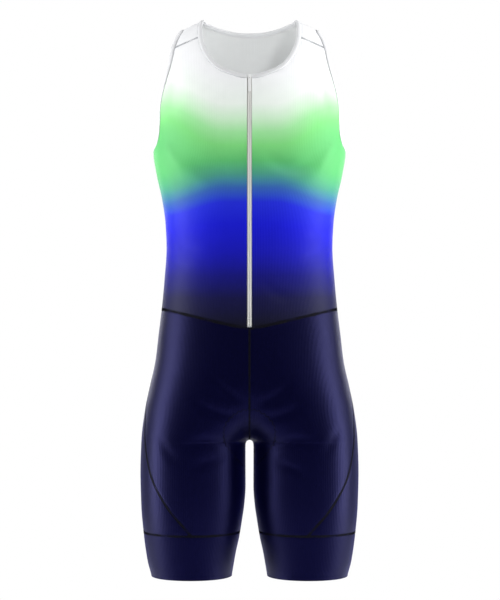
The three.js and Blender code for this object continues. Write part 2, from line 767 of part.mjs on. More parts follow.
// The pull tab: a bar under the bridge, two arms and a rounded plate.
function pullSolid() {
  const end = PULL.length - PULL.half;
  const round = range(PULL.roundSteps).map((t) => {
    const a = Math.PI * t;
    return [PULL.half * Math.cos(a), end + PULL.half * Math.sin(a)];
  });
  const outline = [[PULL.half, -PULL.bar / 2], ...round, [-PULL.half, -PULL.bar / 2]];
  const shape = new THREE.Shape(flatPoints(outline));
  const eye = PULL.half - PULL.arm;
  const hole = [
    [-eye, PULL.bar / 2],
    [eye, PULL.bar / 2],
    [eye, PULL.shoulder],
    [-eye, PULL.shoulder],
  ];
  shape.holes.push(new THREE.Path(flatPoints(hole)));
  const geometry = extrude(shape, PULL.bar);
  return geometry.translate(0, PULL.pivot - sliderMiddle, PULL_OUT - PULL.bar / 2);
}

// The seat pad lies inside the cloth on the corners of the shorts' own grids. Each of its rows starts at
// the centre line, or at the inseam, and ends at the pad's edge.
function padRow(row, reach) {
  let length = 0;
  const kept = [row[0]];
  for (let i = 1; i < row.length; i++) {
    const step = row[i].p.distanceTo(row[i - 1].p);
    if (length + step >= reach) {
      const share = (reach - length) / step;
      const n = row[i - 1].n.clone().lerp(row[i].n, share).normalize();
      kept.push({ p: row[i - 1].p.clone().lerp(row[i].p, share), n });
      return kept;
    }
    kept.push(row[i]);
    length += step;
  }
  return kept;
}

// Rows with unlike numbers of corners are filled up with copies of the last, which the weld drops.
function padPatch(patch, face) {
  const reach = smooth(PAD_REACH, "z", face);
  const rows = patch
    .slice(patch.length - 1 - PAD.lastRow, patch.length - PAD.firstRow)
    .map((row) => (face === "front" ? row : [...row].reverse()))
    .map((row) => padRow(row, reach(row[0].p.z)));
  const widest = Math.max(...rows.map((row) => row.length));
  const filled = rows.map((row) => [...row, ...Array(widest - row.length).fill(row[row.length - 1])]);
  return face === "front" ? filled : filled.map((row) => row.reverse());
}

function seatPad() {
  const patches = [padPatch(shortsFront, "front"), padPatch(shortsBack, "back")];
  return clothSolid([...patches, ...patches.map(mirrorGrid)], {
    thickness: PAD.thickness,
    lift: -CLOTH - PAD.clear,
    gap: 0,
  });
}

// The finished pieces.
const suit = new THREE.Group();
const COLOURS = {
  torso: "#7fa9dc",
  shorts: "#14144f",
  trim: "#e8e8ea",
  pad: "#20202c",
  zip: "#d8d9dc",
};
function add(name, geometry, colour, metalness = 0) {
  const material = new THREE.MeshStandardMaterial({ color: colour, roughness: 0.6, metalness });
  const mesh = new THREE.Mesh(geometry, material);
  mesh.name = name;
  suit.add(mesh);
  return mesh;
}
// A pair of pieces, the right one mirrored from the left.
function addPair(name, patches, colour) {
  const left = clothSolid(patches);
  add(`${name}_left`, left, colour);
  add(`${name}_right`, mirrorSolid(left), colour);
}
function mirrorSolid(geometry) {
  return outwards(geometry.clone().scale(-1, 1, 1));
}

addPair("torso_front", frontPatches, COLOURS.torso);
// The back is one panel of cloth. It is two solids, which meet in the middle, so that collision stays
// close to its bend.
addPair("torso_back", backPatches, COLOURS.torso);
addPair("shorts_front", [shortsFront], COLOURS.shorts);
addPair("shorts_back", [shortsBack], COLOURS.shorts);
addPair("leg_band", [legBand], COLOURS.shorts);
add("neck_binding", neckBinding(), COLOURS.trim);
const armhole = armholeBinding();
add("armhole_binding_left", armhole, COLOURS.trim);
add("armhole_binding_right", mirrorSolid(armhole), COLOURS.trim);
add("seat_pad", seatPad(), COLOURS.pad);

const zipRun = { from: TAPE.top, to: frontLine.length - ZIP_END };
const tape = frontBar({ ...zipRun, ...TAPE, left: TAPE.inner, right: TAPE.outer });
add("zip_tape_left", tape, COLOURS.zip);
add("zip_tape_right", mirrorSolid(tape), COLOURS.zip);
add("zip_coil", frontBar({ ...zipRun, ...COIL, left: -COIL.half, right: COIL.half }), COLOURS.zip);
const stopFrom = zipRun.to - ZIP_STOP.above;
const stopRun = { from: stopFrom, to: stopFrom + ZIP_STOP.height };
const stop = frontBar({ ...stopRun, ...ZIP_STOP, left: -ZIP_STOP.half, right: ZIP_STOP.half });
add("zip_bottom_stop", stop, COLOURS.zip);
add("zip_slider", inSliderFrame(join(sliderSolid(), bridgeSolid())), COLOURS.zip, 0.6);
add("zip_pull", inSliderFrame(pullSolid()), COLOURS.zip, 0.3);

export default suit;
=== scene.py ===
# A sleeveless triathlon suit, filled out as if worn: knit panels with a printed fade, ribbed bindings,
# a reversed coil zip, coverstitched seams and a seat pad. Lengths below are millimetres, and made()
# turns them to metres. +Z is up, the front faces -Y and the wearer's left is +X.
import math

import bmesh
import bpy
import numpy as np
from mathutils import Matrix, Vector


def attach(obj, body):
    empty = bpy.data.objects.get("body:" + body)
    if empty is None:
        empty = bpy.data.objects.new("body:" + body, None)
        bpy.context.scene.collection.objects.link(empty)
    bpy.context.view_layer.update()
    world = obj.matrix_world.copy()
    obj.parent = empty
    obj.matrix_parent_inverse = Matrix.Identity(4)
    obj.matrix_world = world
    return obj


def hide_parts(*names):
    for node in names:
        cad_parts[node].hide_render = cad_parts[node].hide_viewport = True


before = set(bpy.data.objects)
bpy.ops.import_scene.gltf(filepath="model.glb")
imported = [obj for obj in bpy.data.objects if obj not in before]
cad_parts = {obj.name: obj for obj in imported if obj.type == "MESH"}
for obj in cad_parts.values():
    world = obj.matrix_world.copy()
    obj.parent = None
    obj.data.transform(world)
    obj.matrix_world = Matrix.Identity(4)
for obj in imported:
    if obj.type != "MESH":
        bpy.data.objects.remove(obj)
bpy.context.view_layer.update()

MM = 0.001
SUIT, TAB = "suit", "zip_pull"  # the two bodies

# Levels of the garment, as heights.
CHEST_Z = -222.0
WAIST_SEAM_Z = -489.0
WAIST_DIP = {"front": 35.1, "back": 5.8, "power": 1.1, "rounding": 0.12}
CROTCH_Z = -711.0
BAND_SEAM_Z = -866.0
HEM_Z = -941.0

# Girth sections from the chest down: the outer side, the depths from the mid-plane, and the exponent of
# the rounded section.
SECTIONS = {
    "z": (
        -222, -262, -303, -344, -385, -439, -489, -534, -575, -616, -657, -711, -765, -820, -866, -915, -941,
    ),
    "half_width": (
        163.2, 157.5, 148.4, 142.8, 141, 144.5, 149.2, 154.7, 159.6, 168.2, 177, 183.6, 185.3, 184, 180.2,
        173.4, 166.5,
    ),
    "front": (116, 114, 108, 101, 97, 97, 99, 101, 102, 102, 100, 96, 92, 87, 81, 75, 72),
    "back": (104, 102, 97, 92, 90, 95, 103, 111, 117, 120, 116, 104, 96, 91, 86, 80, 77),
    "squareness": (2.7, 2.6, 2.5, 2.45, 2.4, 2.4, 2.4, 2.4, 2.4, 2.4, 2.35, 2.3, 2.25, 2.2, 2.15, 2.1, 2.1),
}
CREASE = 8.0  # a section is rounded over this where it meets the middle plane
LEG_INNER = {
    "z": (-711, -713, -716, -724, -790, -820, -847, -875, -902, -941),
    "inner": (8, 9.4, 10.3, 10.6, 10.5, 12, 15.1, 19.2, 24.7, 31.2),
}
LEGS_JOIN = {"height": 200.0, "power": 2.1}
RIDGE = {"y": 12.0, "height": 25.0, "slope": 0.56, "bend": 60.0}
ARCH_FULLNESS = {"front": 0.6, "back": 0.85}

# Edges of the panels, as x and z.
ZIP_HALF = 4.15
SHOULDER_SEAM = ((86.8, -31), (125.9, -47.4))
NECK_FRONT = (
    (ZIP_HALF, -106.3), (29.6, -100.8), (56.6, -87.2), (74, -66.5), (83.2, -46), (86.8, -31),
)
NECK_BACK = (
    (0, -19.5), (31, -17.3), (54.5, -12), (69, -7), (80, -3.4), (87.2, -6), (86.8, -31),
)
ARMHOLE_FRONT = (
    (163.2, -226), (157, -216), (151.5, -200), (149.5, -178), (149, -154), (146, -133.5), (139.4, -106.6),
    (131.6, -77.6), (125.9, -47.4),
)
ARMHOLE_BACK = (
    (163.2, -226), (157.5, -219), (150.5, -204), (144, -181), (138, -154), (130.5, -124), (122.5, -93),
    (115.5, -60), (111.8, -32), (114.5, -19), (120, -30), (125.9, -47.4),
)
HAMMOCK = {"front": (62.0, 62.0), "back": (80.0, 167.0), "armhole": (68.0, 66.0)}  # across and down
QUARTER_GIRTH = 215.0
LEG_SEAM = {
    "z": (-600, -640, -672, -705, -733, -764, -782, -804, -829, -850, -866),
    "share": (1, 0.995, 0.965, 0.915, 0.86, 0.775, 0.695, 0.56, 0.36, 0.14, -0.03),
}
PAD_REACH = {
    "z": (-640, -663, -680, -694, -703, -711, -720, -732, -750),
    "front": (6, 14, 40, 58, 72, 88, 80, 62, 28),
    "back": (30, 48, 62, 76, 88, 100, 90, 66, 30),
}

# Cloth and trim.
CLOTH = 0.9
BINDING = {"width": 8.0, "cut": 10.0, "lift": 0.6, "depth": 1.8, "rib": 2.6, "relief": 0.3, "gap": 0.2}
SEAM = {"width": 4.6, "lift": 0.28, "pitch": 2.6, "needle": 0.34, "looper": 0.24, "dip": 0.55, "spread": 3.4}
ZIP_FOLD = {"width": 3.2, "lift": 0.55, "trough": 0.35}
TAPE = {"inner": 0.5, "outer": 11.0, "top": 4.6, "lift": -2.9, "thickness": 0.8}
CHAIN = {"inner": 0.16, "outer": 3.7, "bottom": -1.8, "top": -0.15, "pitch": 1.3, "relief": 0.09}
ZIP_END = 1.2
ZIP_STOP = {"half": 3.6, "height": 1.6, "lift": 0.15, "thickness": 0.9, "above": 15.0}
SLIDER = {
    "half": 2.9, "top": 1.5, "bottom": 12.5, "lift": 0.1, "plate": 1.4, "back": -4.3, "back_plate": 0.9,
    "shoulder": 6.0, "taper": 0.72, "post": 2.6, "bevel": 0.22,
}
BRIDGE = {
    "half": 1.0, "top": 2.6, "bottom": 8.6, "leg": 0.9, "rise": 2.8, "crown": 0.8, "corner": 0.9,
    "inner_corner": 0.4, "sunk": 0.4,
}
PULL = {
    "half": 2.4, "bar": 1.1, "pivot": 5.6, "shoulder": 3.9, "length": 28.5, "arm": 1.0, "gap": 0.55,
    "round_steps": 12, "bevel": 0.28,
}
PAD = {"thickness": 5.0, "under": 2.1, "top": -640.0, "bottom": -750.0, "columns": 26}

# Grid steps. A torso panel has STRAP_ROWS above its hammock line and BODY_ROWS below it.
PANEL_COLUMNS, BODY_ROWS, STRAP_ROWS = 60, 72, 84
HIP_ROWS, THIGH_ROWS, ROW_STEPS = 10, 7, 6
THIGH_GATHER = 0.8
BAND_COLUMNS, BAND_ROWS = 150, 22


def mix(a, b, t):
    return a + (b - a) * t


def bell(gap, width):
    return np.exp(-((gap / width) ** 2))


def take(table, *keys):
    return (table[key] for key in keys)


def span(count):
    return np.linspace(0, 1, count + 1)


def smooth(table, column, start_level=False):
    """A curve through a table's column over its z, which keeps to the table's own highs and lows."""
    x, y = np.array(table["z"], float), np.array(table[column], float)
    chord = np.diff(y) / np.diff(x)
    slope = np.concatenate([chord[:1], chord[:-1], chord[-1:]])
    before, after = chord[:-1], chord[1:]
    level = before * after <= 0
    both = np.where(level, 1, before + after)
    slope[1:-1] = np.where(level, 0, 2 * before * after / both)
    if start_level:
        slope[0] = 0
    x, y, slope = x[::-1], y[::-1], slope[::-1]

    def at(v):
        v = np.asarray(v, float)
        i = np.clip(np.searchsorted(x, v) - 1, 0, len(x) - 2)
        step = x[i + 1] - x[i]
        t = np.clip((v - x[i]) / step, 0, 1)
        end = 3 * t**2 - 2 * t**3
        bend = step * t * (1 - t) * (slope[i] * (1 - t) - slope[i + 1] * t)
        return y[i] * (1 - end) + y[i + 1] * end + bend

    return at


girth = {column: smooth(SECTIONS, column, True) for column in ("half_width", "front", "back", "squareness")}
leg_inner = smooth(LEG_INNER, "inner")
leg_seam = smooth(LEG_SEAM, "share", True)


def section(z):
    """The section at some heights: its middle, its half width, its depths and its squareness."""
    z = np.asarray(z, float)
    half_width = girth["half_width"](z)
    base = CREASE / half_width
    left = np.maximum(0, 1 - (z - CROTCH_Z) / LEGS_JOIN["height"])
    share = (1 + base) * left ** LEGS_JOIN["power"] - base
    joined = 2 * (share * half_width + CREASE) / (1 + share) - half_width
    inner = np.where(z <= CROTCH_Z, leg_inner(z), joined)
    middle, half = (half_width + inner) / 2, (half_width - inner) / 2
    return middle, half, girth["front"](z), girth["back"](z), girth["squareness"](z)


def corner(share, n):
    """The angle at which a rounded section reaches this share of its half width."""
    share = np.clip(share, -1, 1)
    return np.arctan2(np.maximum(0, 1 - np.abs(share) ** n) ** (1 / n), share)


def ring_end(c):
    return corner((CREASE - c[0]) / c[1], c[4])


def ring(c, front, w):
    """Points of a section: w is 0 at the centre line or a leg's inner side, and 1 at the outer side."""
    middle, half, front_depth, back_depth, n = c
    angle = ring_end(c) * (1 - w)
    along, across = np.cos(angle), np.sin(angle)
    reach = (np.abs(along) ** n + np.abs(across) ** n) ** (-1 / n)
    s = middle + half * along * reach
    x = np.sqrt(np.maximum(0, s * s - CREASE * CREASE))
    return x, np.where(front, -front_depth, back_depth) * across * reach


CHEST = section(CHEST_Z)


def arch_height(x):
    bend = RIDGE["bend"]
    return RIDGE["height"] - RIDGE["slope"] * (np.hypot(x, bend) - bend) - CHEST_Z


def surface(front, w, h):
    """Points of the outer face on the wearer's left. h is the height up to the chest line, and the way
    along the arch above it, which can go over the ridge to the other face."""
    front, w, h = np.broadcast_arrays(front, w, h)
    low_x, low_y = ring(section(np.minimum(h, CHEST_Z)), front, w)
    x, _ = ring(CHEST, front, w)
    height = arch_height(x)
    angle = (h - CHEST_Z) / height
    on_front = front ^ (angle > math.pi / 2)
    c = np.abs(np.cos(angle))
    full = np.where(on_front, ARCH_FULLNESS["front"], ARCH_FULLNESS["back"])
    _, chest_y = ring(CHEST, on_front, w)
    y = RIDGE["y"] + (chest_y - RIDGE["y"]) * (full * c + (1 - full) * c**3)
    above = h > CHEST_Z
    z = np.where(above, CHEST_Z + height * np.sin(angle), h)
    return np.stack([np.where(above, x, low_x), np.where(above, y, low_y), z], -1)


def shell_value(p):
    """Below the chest line: 0 on the outer face, more outside it and less inside."""
    middle, half, front_depth, back_depth, n = section(p[..., 2])
    s = np.hypot(p[..., 0], CREASE)
    depth = np.where(p[..., 1] < 0, front_depth, back_depth)
    return (np.abs(s - middle) / half) ** n + (np.abs(p[..., 1]) / depth) ** n - 1


def unit(v):
    return v / np.maximum(1e-12, np.linalg.norm(v, axis=-1, keepdims=True))


def lengths(p):
    """The way along a line to each of its points."""
    return np.concatenate([[0], np.linalg.norm(np.diff(p, axis=0), axis=1).cumsum()])


def at_lengths(where, s, p):
    return np.stack([np.interp(where, s, p[:, i]) for i in range(3)], -1)


def normals(front, w, h):
    front, w, h = np.broadcast_arrays(front, w, h)
    low = surface(front, w, np.minimum(h, CHEST_Z))
    probe = 0.05 * np.eye(3)
    slope = np.stack([shell_value(low + d) - shell_value(low - d) for d in probe], -1)
    dw, dh = 1e-3, 0.2
    across = surface(front, np.minimum(1, w + dw), h) - surface(front, np.maximum(0, w - dw), h)
    up = surface(front, w, h + dh) - surface(front, w, np.maximum(CHEST_Z, h - dh))
    out = np.cross(across, up) * np.where(front, 1, -1)[..., None]
    found = np.where((h > CHEST_Z)[..., None], unit(out), unit(slope))
    found[..., 0] = np.where(w <= 0, np.where(low[..., 0] < 1e-6, 0, found[..., 0]), found[..., 0])
    return unit(found)


def w_at(x, z):
    """How far round the section at z a point with this x lies."""
    c = section(np.minimum(z, CHEST_Z))
    return 1 - corner((np.hypot(x, CREASE) - c[0]) / c[1], c[4]) / ring_end(c)


def place(x, z, over=False):
    """Where a point of an edge lies on the outer face, as w and h."""
    x, z = np.asarray(x, float), np.asarray(z, float)
    height = arch_height(x)
    rise = np.arcsin(np.clip((z - CHEST_Z) / height, 0, 1))
    along = CHEST_Z + height * np.where(over, math.pi - rise, rise)
    return np.stack([w_at(x, z), np.where(z <= CHEST_Z, z, along)], -1)


def line_through(edge, beyond=0):
    """A smooth line through an edge's points, evenly spaced by its length and level at its start. The
    last points, as many as beyond, lie over the shoulder ridge."""
    flat = place(*np.transpose(edge), np.arange(len(edge)) >= len(edge) - beyond) * (QUARTER_GIRTH, 1)
    t = lengths(flat)
    before, after = np.r_[0, 0 : len(t) - 1], np.r_[1 : len(t), len(t) - 1]
    tangent = (flat[after] - flat[before]) / (t[after] - t[before])[:, None]
    tangent[0] = (np.sign(tangent[0, 0]), 0)

    def at(share):
        v = np.clip(share, 0, 1) * t[-1]
        i = np.clip(np.searchsorted(t, v) - 1, 0, len(t) - 2)
        step = (t[i + 1] - t[i])[..., None]
        k = ((v - t[i])[..., None]) / step
        start = (1 + 2 * k) * (1 - k) ** 2 * flat[i] + k * (1 - k) ** 2 * step * tangent[i]
        end = k**2 * (3 - 2 * k) * flat[i + 1] - k**2 * (1 - k) * step * tangent[i + 1]
        return (start + end) / (QUARTER_GIRTH, 1)

    return at


def waist_seam(face, w):
    """The waist seam's height, which dips to the centre line."""
    x, _ = ring(section(WAIST_SEAM_Z), face == "front", w)
    share = x / girth["half_width"](WAIST_SEAM_Z)
    rise = np.maximum(0, 1 - np.hypot(share, WAIST_DIP["rounding"]))
    return WAIST_SEAM_Z - WAIST_DIP[face] * rise ** WAIST_DIP["power"]


neck_front, neck_back = line_through(NECK_FRONT), line_through(NECK_BACK, 2)
armhole_front, armhole_back = line_through(ARMHOLE_FRONT), line_through(ARMHOLE_BACK, 3)
ZIP_SHARE = {"front": w_at(ZIP_HALF, WAIST_SEAM_Z - WAIST_DIP["front"]), "back": 0.0}


def shoulder_seam(over):
    (x0, z0), (x1, z1) = SHOULDER_SEAM
    return lambda t: place(mix(x0, x1, t), mix(z0, z1, t), over)


def hammock(face, start, end):
    """The line between a panel's body and its strap, slung from the neck to the armhole."""
    across, down = HAMMOCK[face]
    side_across, side_down = HAMMOCK["armhole"]
    a = start + (across / QUARTER_GIRTH, -down)
    b = end + (-side_across / QUARTER_GIRTH, -side_down)

    def at(s):
        s = np.asarray(s, float)[..., None]
        return (1 - s) ** 3 * start + 3 * s * (1 - s) ** 2 * a + 3 * s**2 * (1 - s) * b + s**3 * end

    return at


def torso_patch(face, neck, armhole):
    """A torso panel's left half: rows run up from the waist seam, over the hammock line and along the
    strap to the shoulder seam, and columns run from the middle to the side."""
    line = hammock(face, neck(np.array(0.0)), armhole(np.array(0.0)))
    s, t = np.meshgrid(span(PANEL_COLUMNS), span(BODY_ROWS))
    middle = ZIP_SHARE[face]
    w = mix(middle, 1, s)
    low = np.stack([w, waist_seam(face, w)], -1)
    foot = np.array([middle, float(waist_seam(face, middle))])
    zip_line = mix(foot, line(0.0), t[..., None])
    body = mix(low, line(s), t[..., None])
    edge = w_at(ZIP_HALF, zip_line[..., 1]) if face == "front" else 0.0
    body[..., 0] += (edge - zip_line[..., 0]) * (1 - s)
    s, t = np.meshgrid(span(PANEL_COLUMNS), span(STRAP_ROWS))
    top = shoulder_seam(face == "back")
    k, j = s[..., None], t[..., None]
    sides = mix(line(s), top(s), j) + mix(neck(t), armhole(t), k)
    corners = mix(mix(line(0.0), line(1.0), k), mix(top(0.0), top(1.0), k), j)
    panel = np.concatenate([body, (sides - corners)[1:]])
    return patch(face == "front", *np.moveaxis(panel, -1, 0))


def face_of(u):
    return np.asarray(u) < 0.5


def w_of(u):
    return np.where(face_of(u), 2 * u, 2 - 2 * u)


def row_z(u, row):
    """The height of a row of the shorts. Rows gather to the crotch near the centre line."""
    hip = row <= HIP_ROWS
    share = np.where(hip, row / HIP_ROWS, (row - HIP_ROWS) / THIGH_ROWS)
    bow = (1 - w_of(u)) ** 2 * share * (1 - share)
    waist = np.where(face_of(u), waist_seam("front", w_of(u)), waist_seam("back", w_of(u)))
    thigh = mix(CROTCH_Z, BAND_SEAM_Z, share - THIGH_GATHER * bow)
    return np.where(hip, mix(waist, CROTCH_Z, share + bow), thigh)


def seam_of_row(row):
    """Where the shorts' side seam crosses a row, as u."""
    u = np.full(np.shape(row), 0.5)
    for _ in range(8):
        c = section(row_z(u, row))
        u = (1 - corner(leg_seam(row_z(u, row)), c[4]) / ring_end(c)) / 2
    return u


def patch(front, w, h):
    """A patch of the outer face: its points, its normals, and its cut, as the flat way round and up."""
    cut = np.stack(np.broadcast_arrays(w * QUARTER_GIRTH, h), -1)
    return {"p": surface(front, w, h), "n": normals(front, w, h), "cut": cut}


FLIP = np.array([-1, 1, 1])  # to the wearer's right


def mirrored(one):
    """The wearer's right half of a patch, with its columns running the other way."""
    flips = {"p": FLIP, "n": FLIP, "cut": FLIP[:2]}
    return {key: (one[key] * flip)[:, ::-1] for key, flip in flips.items()}


# Folds of the cloth on each face. Each runs from x0, z0 to x1, z1, bowed down by bow, and stands depth
# above the cloth, or below it where depth is negative, over width to each side.
FOLD_COLUMNS = ("x0", "z0", "x1", "z1", "bow", "width", "depth")
FOLDS = {
    "front": (
        # under the chest, and from the armholes in
        (-20, -238, -94, -252, 10, 15, -4.6), (22, -226, 112, -240, 22, 13, -5),
        (-44, -206, -116, -196, 8, 28, 3.4), (40, -196, 118, -186, 8, 30, 4.4),
        (-60, -286, -124, -262, -8, 16, 2.4), (54, -284, 120, -270, 6, 17, 2.2),
        (-142, -206, -112, -252, 6, 9, 1.9), (144, -210, 116, -258, -4, 9, 1.7),
        (-122, -98, -132, -168, -4, 12, -1.9), (120, -102, 128, -160, 4, 11, -1.6),
        (-24, -120, -30, -170, 2, 14, -1.1),
        # the waist's drag lines
        (-132, -372, -84, -388, 6, 9, -1.5), (134, -380, 92, -401, 5, 8, -1.5),
        (-136, -404, -98, -414, 5, 7, -1.2), (130, -352, 98, -362, 4, 7, -1),
        (-24, -438, -58, -456, 4, 8, -1), (22, -446, 66, -468, 6, 9, -1),
        # from the crotch out over the hips
        (-12, -640, -64, -600, 6, 9, -2.2), (14, -646, 70, -612, 5, 9, -2.4),
        (-20, -664, -92, -640, 7, 8, -1.9), (22, -668, 86, -648, 6, 8, -1.9),
        (-34, -712, -104, -716, -8, 9, -2), (36, -716, 112, -712, -9, 9, -1.9),
        (-40, -742, -92, -752, -6, 8, -1.4), (42, -748, 88, -762, -5, 7, -1.4),
        (-150, -700, -120, -742, 5, 9, -1.2), (152, -690, 126, -728, -4, 9, -1.2),
    ),
    "back": (
        # across the shoulder blades and the small of the back, and under the seat
        (-96, -150, -40, -186, 8, 14, -2), (98, -146, 36, -190, 9, 15, -2),
        (-132, -236, -84, -266, 5, 9, -2), (134, -240, 90, -276, -4, 9, -2),
        (-92, -352, -20, -368, 9, 11, -2.4), (96, -360, 28, -374, 8, 10, -2.4),
        (-110, -386, -36, -396, 7, 10, -1.9), (104, -394, 20, -402, 8, 11, -2),
        (-84, -420, -24, -428, 5, 8, -1.4), (70, -426, 12, -436, 5, 9, -1.4),
        (-24, -716, -96, -708, 12, 12, -3.2), (26, -720, 102, -706, 13, 12, -3.2),
        (-36, -746, -112, -738, 8, 9, -1.9), (34, -752, 104, -742, 8, 9, -1.9),
        (-140, -690, -104, -722, 6, 9, -1.4), (142, -684, 110, -716, -5, 9, -1.4),
    ),
}
FOLD_WAY = span(27)
FOLD_TAPER = np.sin(math.pi * np.clip(FOLD_WAY, 0.02, 0.98)) ** 0.7


def fold_line(face, fold):
    x = mix(fold["x0"], fold["x1"], FOLD_WAY)
    z = mix(fold["z0"], fold["z1"], FOLD_WAY) - fold["bow"] * 4 * FOLD_WAY * (1 - FOLD_WAY)
    line = surface(face == "front", *place(np.abs(x), z).T)
    line[:, 0] *= np.sign(x)
    return line


FOLD_LINES = [
    (fold, fold_line(face, fold))
    for face, table in FOLDS.items()
    for fold in (dict(zip(FOLD_COLUMNS, row)) for row in table)
]


def fold_relief(p):
    relief = np.zeros(p.shape[:-1])
    for fold, line in FOLD_LINES:
        reach = 2.5 * fold["width"]
        low, high = line.min(axis=0) - reach, line.max(axis=0) + reach
        near = np.all((p > low) & (p < high), axis=-1)
        if near.any():
            gap = np.linalg.norm(p[near][:, None] - line[None], axis=-1)
            relief[near] += fold["depth"] * (FOLD_TAPER * bell(gap, fold["width"])).max(axis=1)
    return relief


EDGE_WAYS = {"start": (1, 1), "end": (1, -1), "bottom": (0, 1), "top": (0, -1)}  # axis and direction


def edge_gap(one, edges):
    """How far each point of a patch lies from the nearest of the named edges of its grid."""
    gaps = []
    for axis, way in (EDGE_WAYS[edge] for edge in edges):
        p = one["p"] if way > 0 else np.flip(one["p"], axis)
        gap = np.linalg.norm(np.diff(p, axis=axis, prepend=p.take([0], axis)), axis=-1).cumsum(axis=axis)
        gaps.append(gap if way > 0 else np.flip(gap, axis))
    return np.minimum.reduce(gaps)


def seam_relief(one, edges):
    """The cloth draws in to a seam, a little unevenly, as stitching pulls it up."""
    gap = edge_gap(one, edges)
    across, along = np.moveaxis(one["cut"], -1, 0)
    pucker = 0.75 + 0.25 * np.sin((across + along) / 7.3) * np.sin((across - along) / 11.9 + 1.7)
    return -SEAM["dip"] * pucker * bell(gap, SEAM["spread"])


def linear(colour):
    """An sRGB hex colour as linear red, green, blue and alpha."""
    parts = [int(colour[i : i + 2], 16) / 255 for i in (1, 3, 5)]
    return tuple(c / 12.92 if c <= 0.04045 else ((c + 0.055) / 1.055) ** 2.4 for c in parts) + (1.0,)


def add_node(tree, kind, inputs=(), out=0, **settings):
    """Adds a node with its settings and gives one of its outputs. inputs pairs each input with a value or
    with a socket to link."""
    added = tree.nodes.new(kind)
    for name, value in settings.items():
        setattr(added, name, value)
    for key, value in dict(inputs).items():
        if isinstance(value, bpy.types.NodeSocket):
            tree.links.new(value, added.inputs[key])
        else:
            added.inputs[key].default_value = value
    return added.outputs[out]


def math_node(tree, operation, *values):
    return add_node(tree, "ShaderNodeMath", dict(enumerate(values)), operation=operation)


def part_of(tree, vector, axis):
    return add_node(tree, "ShaderNodeSeparateXYZ", {0: vector}, axis)


def grained(tree, shader, height, strength, depth):
    """A surface that is uneven by height, depth millimetres deep."""
    bump = add_node(tree, "ShaderNodeBump", {"Height": height, "Strength": strength, "Distance": depth * MM})
    tree.links.new(bump, shader["Normal"])


def new_material(name, **shader):
    material = bpy.data.materials.new(name)
    material.use_nodes = True
    principled = material.node_tree.nodes["Principled BSDF"]
    for key, value in shader.items():
        principled.inputs[key.replace("_", " ")].default_value = value
    return material, material.node_tree, principled.inputs


# Knit: wales run along the cut and courses across it. The real knit has about 1.1 and 1.5 loops to the
# millimetre, which is too fine to show, so both are drawn about two and a half times as coarse.
KNIT = {"wale": 2.4, "course": 1.9, "course_share": 0.45, "height": 0.10, "drift": 1.3, "drift_scale": 0.055}
COLOUR_A, COLOUR_B, COLOUR_OUT = 6, 7, 2  # the Mix node's sockets for colours


def knitted(tree, shader, cut, colour, low, high):
    """The knit's loops in the surface, and its colour, which drifts between low and high shares of it."""
    def wave(axis, size):
        turn = math_node(tree, "MULTIPLY", part_of(tree, cut, axis), 2 * math.pi / KNIT[size])
        return math_node(tree, "SINE", turn)

    patches = {"Vector": cut, "Scale": KNIT["drift_scale"], "Detail": 3.0}
    drift = add_node(tree, "ShaderNodeTexNoise", patches)
    loops = math_node(tree, "MULTIPLY_ADD", wave("Y", "course"), KNIT["course_share"], wave("X", "wale"))
    height = math_node(tree, "MULTIPLY_ADD", drift, KNIT["drift"], loops)
    grained(tree, shader, height, 0.5, KNIT["height"])
    soft = add_node(tree, "ShaderNodeMapRange", {"Value": drift, "To Min": low, "To Max": high})
    toned = add_node(
        tree, "ShaderNodeMix", {"Factor": 1.0, COLOUR_A: colour, COLOUR_B: soft}, COLOUR_OUT,
        data_type="RGBA", blend_type="MULTIPLY",
    )
    tree.links.new(toned, shader["Base Color"])


# The print's colours down the middle, by height.
PRINT = (
    (-100, "#ecedef"), (-150, "#e2eae3"), (-176, "#c2e3c2"), (-198, "#95d895"), (-220, "#74c975"),
    (-244, "#54ad66"), (-266, "#43907c"), (-288, "#2e5aa2"), (-312, "#1824c4"), (-348, "#0a0fbd"),
    (-394, "#090ba2"), (-434, "#08086c"), (-470, "#07073c"), (-515, "#04041a"),
)
# At the sides the print is shifted by height: the green starts higher and ends lower. The rows are the
# factors of the shift: by x or by height, from one level to another, it eases from one figure to another.
SIDE_SHIFT = (
    ("x", 40.0, 145.0, 0.0, 1.0),
    ("height", -175.0, -285.0, -46.0, 26.0),
    ("height", -310.0, -400.0, 1.0, 0.0),
)


